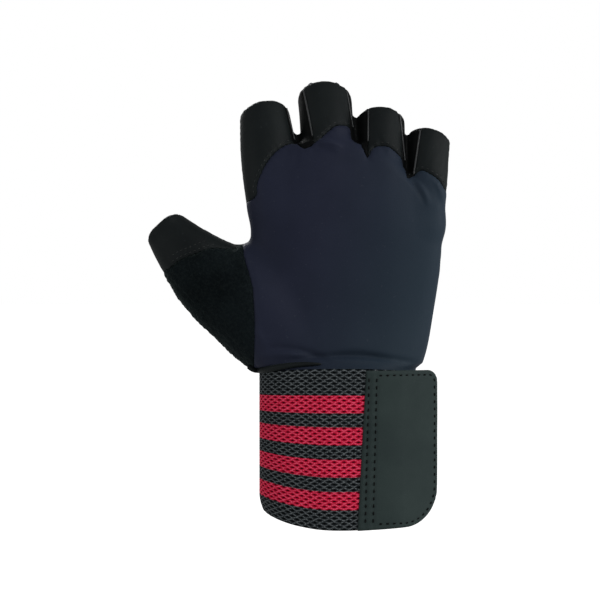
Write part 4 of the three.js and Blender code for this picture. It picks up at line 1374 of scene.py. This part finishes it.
def band_mesh():
    """The wrap: its line carried up its height, with yarn relief on the outside, and its flat coordinates."""
    at, angle, px, py, nx, ny = band_line()
    columns, rows, inner_rows = len(at), 240, 8
    share = np.linspace(0, 1, rows)
    inner_share = np.linspace(0.985, 0.015, inner_rows)
    low = BAND_FOOT_ARCH * np.cos(angle) ** 2
    tall = WRAP_HEIGHT - BAND_HEAD_ARCH * np.cos(angle) ** 2 - low
    run, height = np.meshgrid(at, share * WRAP_HEIGHT, indexing="ij")
    edge = np.minimum(height, WRAP_HEIGHT - height)
    inward = BAND_EDGE - np.minimum(edge, BAND_EDGE)
    rounded = BAND_EDGE - np.sqrt(np.maximum(BAND_EDGE**2 - inward**2, 0))
    relief = YARN_RELIEF * yarn_relief(run, height) - YARN_RELIEF_DEPTH
    tuck = BAND_TUCK * np.clip(1 - height / BAND_TUCK_HEIGHT, 0, 1) ** 2 * (np.cos(angle) ** 4)[:, None]
    out = BAND_WALL + relief * np.clip(edge / 0.8, 0, 1) - rounded - tuck
    z = low[:, None] + tall[:, None] * share
    outer = np.stack([px[:, None] + nx[:, None] * out, py[:, None] + ny[:, None] * out, z], -1)
    inner_z = low[:, None] + tall[:, None] * inner_share
    inner = np.stack([*(np.repeat(side[:, None], inner_rows, 1) for side in (px, py)), inner_z], -1)
    points = np.concatenate([outer, inner], 1).reshape(-1, 3)
    inner_uv = np.stack(np.meshgrid(at, inner_share * WRAP_HEIGHT, indexing="ij"), -1)
    uv = np.concatenate([np.stack([run, height], -1), inner_uv], 1).reshape(-1, 2)
    count = rows + inner_rows
    matching = rows + np.clip(((1 - share) * inner_rows).astype(int), 0, inner_rows - 1)
    ends = []
    for column, flip in ((0, False), (columns - 1, True)):
        loop = column * count + np.arange(count)
        face, back = loop[:rows], loop[matching]
        fan = np.concatenate([
            np.stack([face[:-1], back[:-1], face[1:]], 1),
            np.stack([back[:-1], back[1:], face[1:]], 1),
        ])
        fan = fan[(fan[:, 0] != fan[:, 1]) & (fan[:, 1] != fan[:, 2])]
        ends.append(fan if flip else fan[:, ::-1])
    return points, np.concatenate([grid_faces(columns, count, wrap=True), *ends]), uv * MM


@functools.cache
def tab_path():
    """The tab's line in X and Y: round the wrist to where it leaves it, then straight and slightly bowed."""
    angles = np.linspace(wrist_angle(TAB_LEFT, TAB_LIFT), wrist_angle(TAB_LEAVES, TAB_LIFT), 40)
    x, y = wrist_point(angles, TAB_LIFT)
    heading = math.atan2(y[-1] - y[-2], x[-1] - x[-2]) + TAB_LEAN
    run = (TAB_RIGHT - x[-1]) / math.cos(heading) * np.linspace(0, 1, 30)[1:]
    x = np.concatenate([x, x[-1] + run * math.cos(heading)])
    y = np.concatenate([y, y[-1] + run * math.sin(heading)])
    length = np.concatenate([[0], np.cumsum(np.hypot(np.diff(x), np.diff(y)))])
    return x, y, length


def tab_outline():
    """The flat tab's outline in run and height: slanted left edge, small upper and large lower corner."""
    length = tab_path()[2][-1]
    upper, lower = TAB_UPPER_CORNER, TAB_LOWER_CORNER
    angle = np.linspace(-math.pi / 2, 0, 14)
    low = np.stack([length - lower + lower * np.cos(angle), TAB_FOOT + lower + lower * np.sin(angle)], 1)
    angle = np.linspace(0, math.pi / 2, 8)
    high = np.stack([length - upper + upper * np.cos(angle), TAB_HEAD - upper + upper * np.sin(angle)], 1)
    return np.concatenate([[(0.0, 0.0)], low, high, [(TAB_SLANT, TAB_HEAD)]])


def on_tab(run, height, rise):
    """Points on the tab's face at a run and height, raised off it, and the face's outward directions."""
    x, y, length = tab_path()
    run = np.clip(run, 0, length[-1])
    px = np.interp(run, length, x)
    py = np.interp(run, length, y)
    ahead_x = np.interp(run + 0.5, length, x) - np.interp(run - 0.5, length, x)
    ahead_y = np.interp(run + 0.5, length, y) - np.interp(run - 0.5, length, y)
    size = np.hypot(ahead_x, ahead_y)
    nx, ny = ahead_y / size, -ahead_x / size
    points = np.stack([px + nx * rise, py + ny * rise, height], -1)
    return points, np.stack([nx, ny, np.zeros_like(nx)], -1)


def outline_sheet(outline, step):
    """Triangles of an even grid inside a closed outline, cut along it, with each point's distance inside."""
    low, high = outline.min(0) - step, outline.max(0) + step
    a = np.arange(low[0], high[0] + step, step)
    b = np.arange(low[1], high[1] + step, step)
    grid = np.stack(np.meshgrid(a, b, indexing="ij"), -1).reshape(-1, 2)
    distance, _ = inside_outline(outline, grid[:, 0], grid[:, 1])
    faces = grid_faces(len(a), len(b))
    return cut(grid, faces, distance)


class GloveColours(bpy.types.PropertyGroup):
    """Colours that a user would change."""

    stripe: FloatVectorProperty(
        name="Stripes", description="Colour of the wrap's stripes", subtype="COLOR", size=3,
        default=(0.74, 0.0075, 0.050), min=0, max=1,
    )
    ground: FloatVectorProperty(
        name="Webbing", description="Colour of the wrap between its stripes", subtype="COLOR", size=3,
        default=(0.0095, 0.0120, 0.0140), min=0, max=1,
    )


class GloveShape(bpy.types.PropertyGroup):
    """Sizes that a user would change."""

    pad_height: FloatProperty(
        name="Pad Height", description="Height of the palm's pads over the cloth", unit="LENGTH",
        default=0.0021, min=0.0005, max=0.004,
    )
    piping: FloatProperty(
        name="Piping", description="Radius of the piped seams between the fingers", unit="LENGTH",
        default=0.00042, min=0.0001, max=0.001,
    )
    stitch_pitch: FloatProperty(
        name="Stitch Pitch", description="Distance between the tab's stitches", unit="LENGTH",
        default=0.0034, min=0.001, max=0.006,
    )


class GLOVE_OT_panels(bpy.types.Operator):
    """Makes the cloth panels of the hand and the strips between its fingers"""

    bl_idname = "glove.panels"
    bl_label = "Cloth Panels"

    def execute(self, context):
        for name, node, cloth, wall in PANELS:
            mesh = panel(node, wall)
            if node in ("back_panel", "palm_panel"):
                mesh = join([mesh, cuff_half(-1 if node == "back_panel" else 1)])
            make_piece(name, *mesh, cloth_material(cloth), cloth, [node])
        return {"FINISHED"}


class GLOVE_OT_piping(bpy.types.Operator):
    """Makes the piped seams along the strips between the fingers"""

    bl_idname = "glove.piping"
    bl_label = "Piping"

    def execute(self, context):
        radius = context.scene.glove_shape.piping / MM
        tubes = []
        for name, (_, _, _, *seams) in CROTCHES.items():
            for finger, ends in zip(name.split("_"), seams):
                slope, rows = FINGERS[finger]
                beside = ends[0][0] - across(rows[2][1])
                top = up(rows[2][0]) + slope * beside - RIM_SAG * beside**2 - PIPING_INSET
                z = np.linspace(top, ends[1][1] - 0.5, 60)
                path, _ = skin_path(np.stack([line_x(ends, z), z], 1), BACK, rise=-0.15)
                tubes.append(tube(path, radius))
        make_piece("strip_piping", *join(tubes), cloth_material("piping"), "gusset_knit")
        return {"FINISHED"}


class GLOVE_OT_fold(bpy.types.Operator):
    """Makes the cloth's fold that lies over the wrap's upper edge beside the thumb"""

    bl_idname = "glove.fold"
    bl_label = "Cuff Fold"

    def execute(self, context):
        line = smooth_line(FOLD_LINE, 8)
        path, _ = skin_path(line, BACK, rise=0.7)
        taper = np.sin(math.pi * np.linspace(0.12, 1, len(path))) ** 0.5
        mesh = tube(path, radius=0.25 + 1.25 * taper, sides=14)
        make_piece("cuff_fold", *mesh, cloth_material("black_jersey"), "black_jersey")
        return {"FINISHED"}


class GLOVE_OT_pads(bpy.types.Operator):
    """Makes the palm's three pads with their printed honeycomb"""

    bl_idname = "glove.pads"
    bl_label = "Palm Pads"

    def execute(self, context):
        rise = context.scene.glove_shape.pad_height / MM
        for name, outline in PADS.items():
            outline = smooth_line(in_plane(outline), 8, closed=True)
            flat, faces, distance = outline_sheet(outline, step=0.42)
            depth = on_skin(*flat.T, PALM)
            flat, faces, distance = cut(flat, faces, least(distance, depth - PAD_EDGE))
            x, z = flat.T
            turn = math.radians(PAD_TURNS[name])
            u = math.cos(turn) * x + math.sin(turn) * z
            v = -math.sin(turn) * x + math.cos(turn) * z
            comb = honeycomb(u / COMB_PITCH, v / COMB_PITCH) * COMB_PITCH
            printed = np.clip((distance - PRINT_INSET) / 0.8, 0, 1)
            net = np.clip((COMB_WALL / 2 + 0.25 - comb) / 0.5, 0, 1) * printed
            crown = rise * (1 - np.exp(-distance / PAD_SHOULDER)) + 0.1
            base = np.stack([x, on_skin(x, z, PALM), z], 1)
            slope = gradient(base)
            slope /= np.linalg.norm(slope, axis=1)[:, None]
            inner, twin = twins(len(base), faces)
            top = base + slope * (crown + COMB_HEIGHT * net)[:, None]
            foot = base - slope * PAD_SUNK
            points = bend(np.concatenate([top, foot[inner]]))
            shell = np.concatenate([faces[:, ::-1], twin[faces]])
            # Painted highlight on the print, placed on each pad.
            painted_highlight = painted_print_highlight(name, x, z)
            uv = np.stack([u, v], 1) * MM
            piece = make_piece(
                f"{name}_cloth", points, shell, grip_material(), "grip_print", [name],
                uv=np.concatenate([uv, uv[inner]]),
                values={"painted_highlight": np.concatenate([painted_highlight, painted_highlight[inner]]),
                        "printed": np.concatenate([printed, 0 * printed[inner]])},
            )
        return {"FINISHED"}


def honeycomb(u, v):
    """Distance to the nearest wall of a honeycomb with cells one unit wide: half less the greater of
    |x| and |x|/2 + sqrt(3)|y|/2 from the cell's middle.
    """
    root = math.sqrt(3)

    def centred(a, b):
        return np.mod(a + 200, 1) - 0.5, np.mod(b + 200 * root, root) - root / 2

    a, b = centred(u, v)
    c, d = centred(u + 0.5, v + root / 2)
    first = np.hypot(a, b) < np.hypot(c, d)
    x = np.abs(np.where(first, a, c))
    y = np.abs(np.where(first, b, d))
    return 0.5 - np.maximum(x, 0.5 * x + root / 2 * y)


# Painted highlights on each pad's print: X, Z, reach across, reach up, strength.
PAINTED_PRINT_HIGHLIGHTS = {
    "knuckle_pad": (
        (-33, 158, 8, 6, 1.3), (-26, 156, 8, 4, 0.7), (40, 148, 5, 5, 1.3), (28, 153, 12, 2.5, 0.8),
        (0, 148, 30, 5, 0.06),
    ),
    "thumb_pad": (
        (-32, 127, 6, 7, 1.3), (-35, 119, 4, 9, 1.0), (-30, 108, 3, 12, 0.5), (-20, 112, 18, 18, 0.06),
    ),
    "heel_pad": ((40, 109, 9, 12, 0.8), (33, 92, 6, 11, 0.65)),
}


def painted_print_highlight(name, x, z):
    """Painted highlight on the print: the sum of soft round patches."""
    rest = 0.012
    total = rest + 0 * x
    for cx, cz, wide, tall, strength in PAINTED_PRINT_HIGHLIGHTS[name]:
        total = total + strength * np.exp(-(((x - cx) / wide) ** 2) - ((z - cz) / tall) ** 2)
    return np.clip(total, 0, 1)


class GLOVE_OT_wrap(bpy.types.Operator):
    """Makes the striped elastic wrap"""

    bl_idname = "glove.wrap"
    bl_label = "Wrist Wrap"

    def execute(self, context):
        colours = context.scene.glove_colours
        points, faces, uv = band_mesh()
        material = webbing_material(tuple(colours.stripe), tuple(colours.ground))
        make_piece("wrap_webbing", points, faces, material, "elastic_webbing", ["wrist_band"], uv=uv)
        return {"FINISHED"}


class GLOVE_OT_tab(bpy.types.Operator):
    """Makes the closing tab, its hook patch and its stitching"""

    bl_idname = "glove.tab"
    bl_label = "Closing Tab"

    def execute(self, context):
        pitch = context.scene.glove_shape.stitch_pitch / MM
        outline = tab_outline()
        flat, faces, distance = outline_sheet(outline, step=0.7)
        run, height = flat.T
        groove = 0.16 * np.exp(-(((distance - TAB_HEM) / 0.7) ** 2)) + 0.2 * np.exp(-((distance / 0.6) ** 2))
        for column in self.columns(height):
            groove += 0.22 * np.exp(-(((run - column) / 0.7) ** 2))
        puff = 0.1 * ripple(run, 0 * run, height, 22, 1.0)
        face, normals = on_tab(run, height, TAB_WALL + puff - groove)
        shell, shell_faces = thicken(face, normals, faces, distance, TAB_WALL)
        make_piece("tab_cloth", shell, shell_faces, cloth_material("tab_suede"), "tab_suede", ["closure_tab"])
        levels = np.linspace(3, TAB_HEAD - 2.7, 60)
        rows = [(self.inset_line(outline, TAB_HEM), 1.7)]
        rows += [(np.stack([column, levels], 1), 1.9) for column in self.columns(levels)]
        made = []
        for line, length in rows:
            path, out = on_tab(line[:, 0], line[:, 1], TAB_WALL)
            made.append(stitches(path, out, pitch, length, radius=0.36, rise=-0.1))
        make_piece("tab_stitching", *join(made), cloth_material("tab_thread"), "tab_suede")
        self.hook()
        return {"FINISHED"}

    @staticmethod
    def columns(height):
        """The two stitched columns beside the tab's slanted edge."""
        slant = np.asarray(height) / TAB_HEAD * TAB_COLUMN_SLANT
        return tuple(place + slant for place in TAB_COLUMNS)

    @staticmethod
    def inset_line(outline, distance):
        """The outline moved inward, from the foot of its slanted edge round to its head."""
        start = TAB_COLUMNS[-1] + 2
        line = np.concatenate([[(start, outline[1, 1])], outline[1:-1], [(start, outline[-2, 1])]])
        return offset_line(even_line(line, step=0.8), distance)

    def hook(self):
        """The hook patch under the tab, set in from its edges."""
        outline = tab_outline()
        centre = outline.mean(0)
        size = (outline.max(0) - outline.min(0)) / 2
        inner = centre + (outline - centre) * (1 - HOOK_INSET / size)
        flat, faces, distance = outline_sheet(inner, step=0.8)
        run, height = flat.T
        rough = 0.25 * ripple(run, 0 * run, height, 1.9, 0.4)
        face, _ = on_tab(run, height, HOOK_TOP)
        back, _ = on_tab(run, height, HOOK_BACK + rough)
        inside, twin = twins(len(face), faces)
        shell = np.concatenate([face, back[inside]])
        shell_faces = np.concatenate([faces, twin[faces][:, ::-1]])
        make_piece("hook_tape", shell, shell_faces, cloth_material("hook_tape"), "hook_tape", ["hook_patch"])


class GLOVE_OT_stitching(bpy.types.Operator):
    """Makes the stitches along the hand's seams and hems"""

    bl_idname = "glove.stitching"
    bl_label = "Stitching"

    def execute(self, context):
        made = []
        tip = smooth_line(in_plane(THUMB_TIP_SEAM[1:7]), 8)
        for distance, last in THUMB_THREADS:
            line = offset_line(tip, distance)
            line = line[(line[:, 0] > THUMB_THREADS_START) & (line[:, 0] < last)]
            path, out = skin_path(line, BACK)
            made.append(stitches(path, out, pitch=2.3, length=1.5, radius=0.2, rise=0.02))
        knuckle = smooth_line(in_plane(KNUCKLE_SEAM), 8)
        for first, last in KNUCKLE_THREADS:
            line = knuckle[(knuckle[:, 0] > across(first)) & (knuckle[:, 0] < across(last))]
            path, out = skin_path(offset_line(line, KNUCKLE_THREADS_INSET), BACK)
            made.append(stitches(path, out, pitch=2.6, length=1.5, radius=0.16, rise=0.0))
        make_piece("seam_stitching", *join(made), cloth_material("thread"), "black_jersey")
        hems = []
        for finger, (slope, rows) in FINGERS.items():
            if finger == "middle":
                continue
            end, centre, half, _ = rows[-1]
            beside = np.linspace(-0.8, 0.8, 30) * across(half)
            line = np.stack([across(centre) + beside, up(end) + RIM_RISE + slope * beside - HEM_INSET], 1)
            path, out = skin_path(line, PALM)
            hems.append(stitches(path, out, pitch=2.3, length=1.4, radius=0.17, rise=0.02))
        make_piece("hem_stitching", *join(hems), cloth_material("piping"), "palm_suede")
        return {"FINISHED"}


class GLOVE_OT_stage(bpy.types.Operator):
    """Makes the pale floor, the soft lights and the camera"""

    bl_idname = "glove.stage"
    bl_label = "Stage"

    def execute(self, context):
        scene = context.scene
        scene.view_settings.view_transform = "Standard"
        self.floor(scene)
        self.sky(scene)
        for name, place, size, power in LIGHTS:
            light = bpy.data.lights.new(name, "AREA")
            light.shape = "DISK"
            light.size = size
            light.energy = power
            lamp = bpy.data.objects.new(name, light)
            scene.collection.objects.link(lamp)
            lamp.location = place
            aim = Vector((0, 0, 0.11)) - Vector(place)
            lamp.rotation_euler = aim.to_track_quat("-Z", "Y").to_euler()
        camera = bpy.data.cameras.new("camera")
        camera.sensor_width = 36
        camera.lens = CAMERA_LENS
        lens = bpy.data.objects.new("camera", camera)
        scene.collection.objects.link(lens)
        lens.location = CAMERA_PLACE
        lens.rotation_euler = (math.pi / 2, 0, 0)
        scene.camera = lens
        return {"FINISHED"}

    @staticmethod
    def soft_white(nodes):
        """Full strength where the camera sees it, and less as a light on the object."""
        seen = nodes.add("ShaderNodeLightPath").outputs["Is Camera Ray"]
        return nodes.math("MULTIPLY_ADD", seen, 1 - WHITE_AS_LIGHT, WHITE_AS_LIGHT)

    def floor(self, scene):
        """A round pale floor under the glove."""
        corners, radius, drop = 96, 60, 0.03
        angle = np.linspace(0, 2 * math.pi, corners, endpoint=False)
        ring = np.stack([radius * np.cos(angle), radius * np.sin(angle), np.full(corners, -drop)], 1)
        mesh = bpy.data.meshes.new("floor")
        mesh.from_pydata(ring.tolist(), [], [list(range(corners))])
        material, nodes, shader = new_material("floor_pale")
        shader["Base Color"].default_value = (0.22, 0.22, 0.22, 1)
        shader["Emission Color"].default_value = (1, 1, 1, 1)
        nodes.feed(shader["Emission Strength"], self.soft_white(nodes))
        shader["Roughness"].default_value = 0.9
        shader["Specular IOR Level"].default_value = 0.1
        mesh.materials.append(material)
        floor = bpy.data.objects.new("floor", mesh)
        scene.collection.objects.link(floor)

    def sky(self, scene):
        """Even white light from all round."""
        world = bpy.data.worlds.new("studio")
        world.use_nodes = True
        nodes = Nodes(world.node_tree)
        background = world.node_tree.nodes["Background"].inputs
        background["Color"].default_value = (1, 1, 1, 1)
        nodes.feed(background["Strength"], self.soft_white(nodes))
        scene.world = world


STEPS = ("stage", "panels", "piping", "fold", "pads", "wrap", "tab", "stitching")


class GLOVE_PT_sidebar(bpy.types.Panel):
    """Lists the glove's pieces in the sidebar"""

    bl_label = "Weightlifting Glove"
    bl_space_type = "VIEW_3D"
    bl_region_type = "UI"
    bl_category = "Glove"

    def draw(self, context):
        for step in STEPS:
            self.layout.operator(f"glove.{step}")
        for key in ("stripe", "ground"):
            self.layout.prop(context.scene.glove_colours, key)
        for key in ("pad_height", "piping", "stitch_pitch"):
            self.layout.prop(context.scene.glove_shape, key)


CLASSES = (
    GloveColours,
    GloveShape,
    GLOVE_OT_panels,
    GLOVE_OT_piping,
    GLOVE_OT_fold,
    GLOVE_OT_pads,
    GLOVE_OT_wrap,
    GLOVE_OT_tab,
    GLOVE_OT_stitching,
    GLOVE_OT_stage,
    GLOVE_PT_sidebar,
)


def register():
    for each in CLASSES:
        bpy.utils.register_class(each)
    bpy.types.Scene.glove_colours = PointerProperty(type=GloveColours)
    bpy.types.Scene.glove_shape = PointerProperty(type=GloveShape)


def unregister():
    del bpy.types.Scene.glove_shape
    del bpy.types.Scene.glove_colours
    for each in reversed(CLASSES):
        bpy.utils.unregister_class(each)


def main():
    """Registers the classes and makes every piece."""
    register()
    for step in STEPS:
        getattr(bpy.ops.glove, step)()


if __name__ == "__main__":
    main()
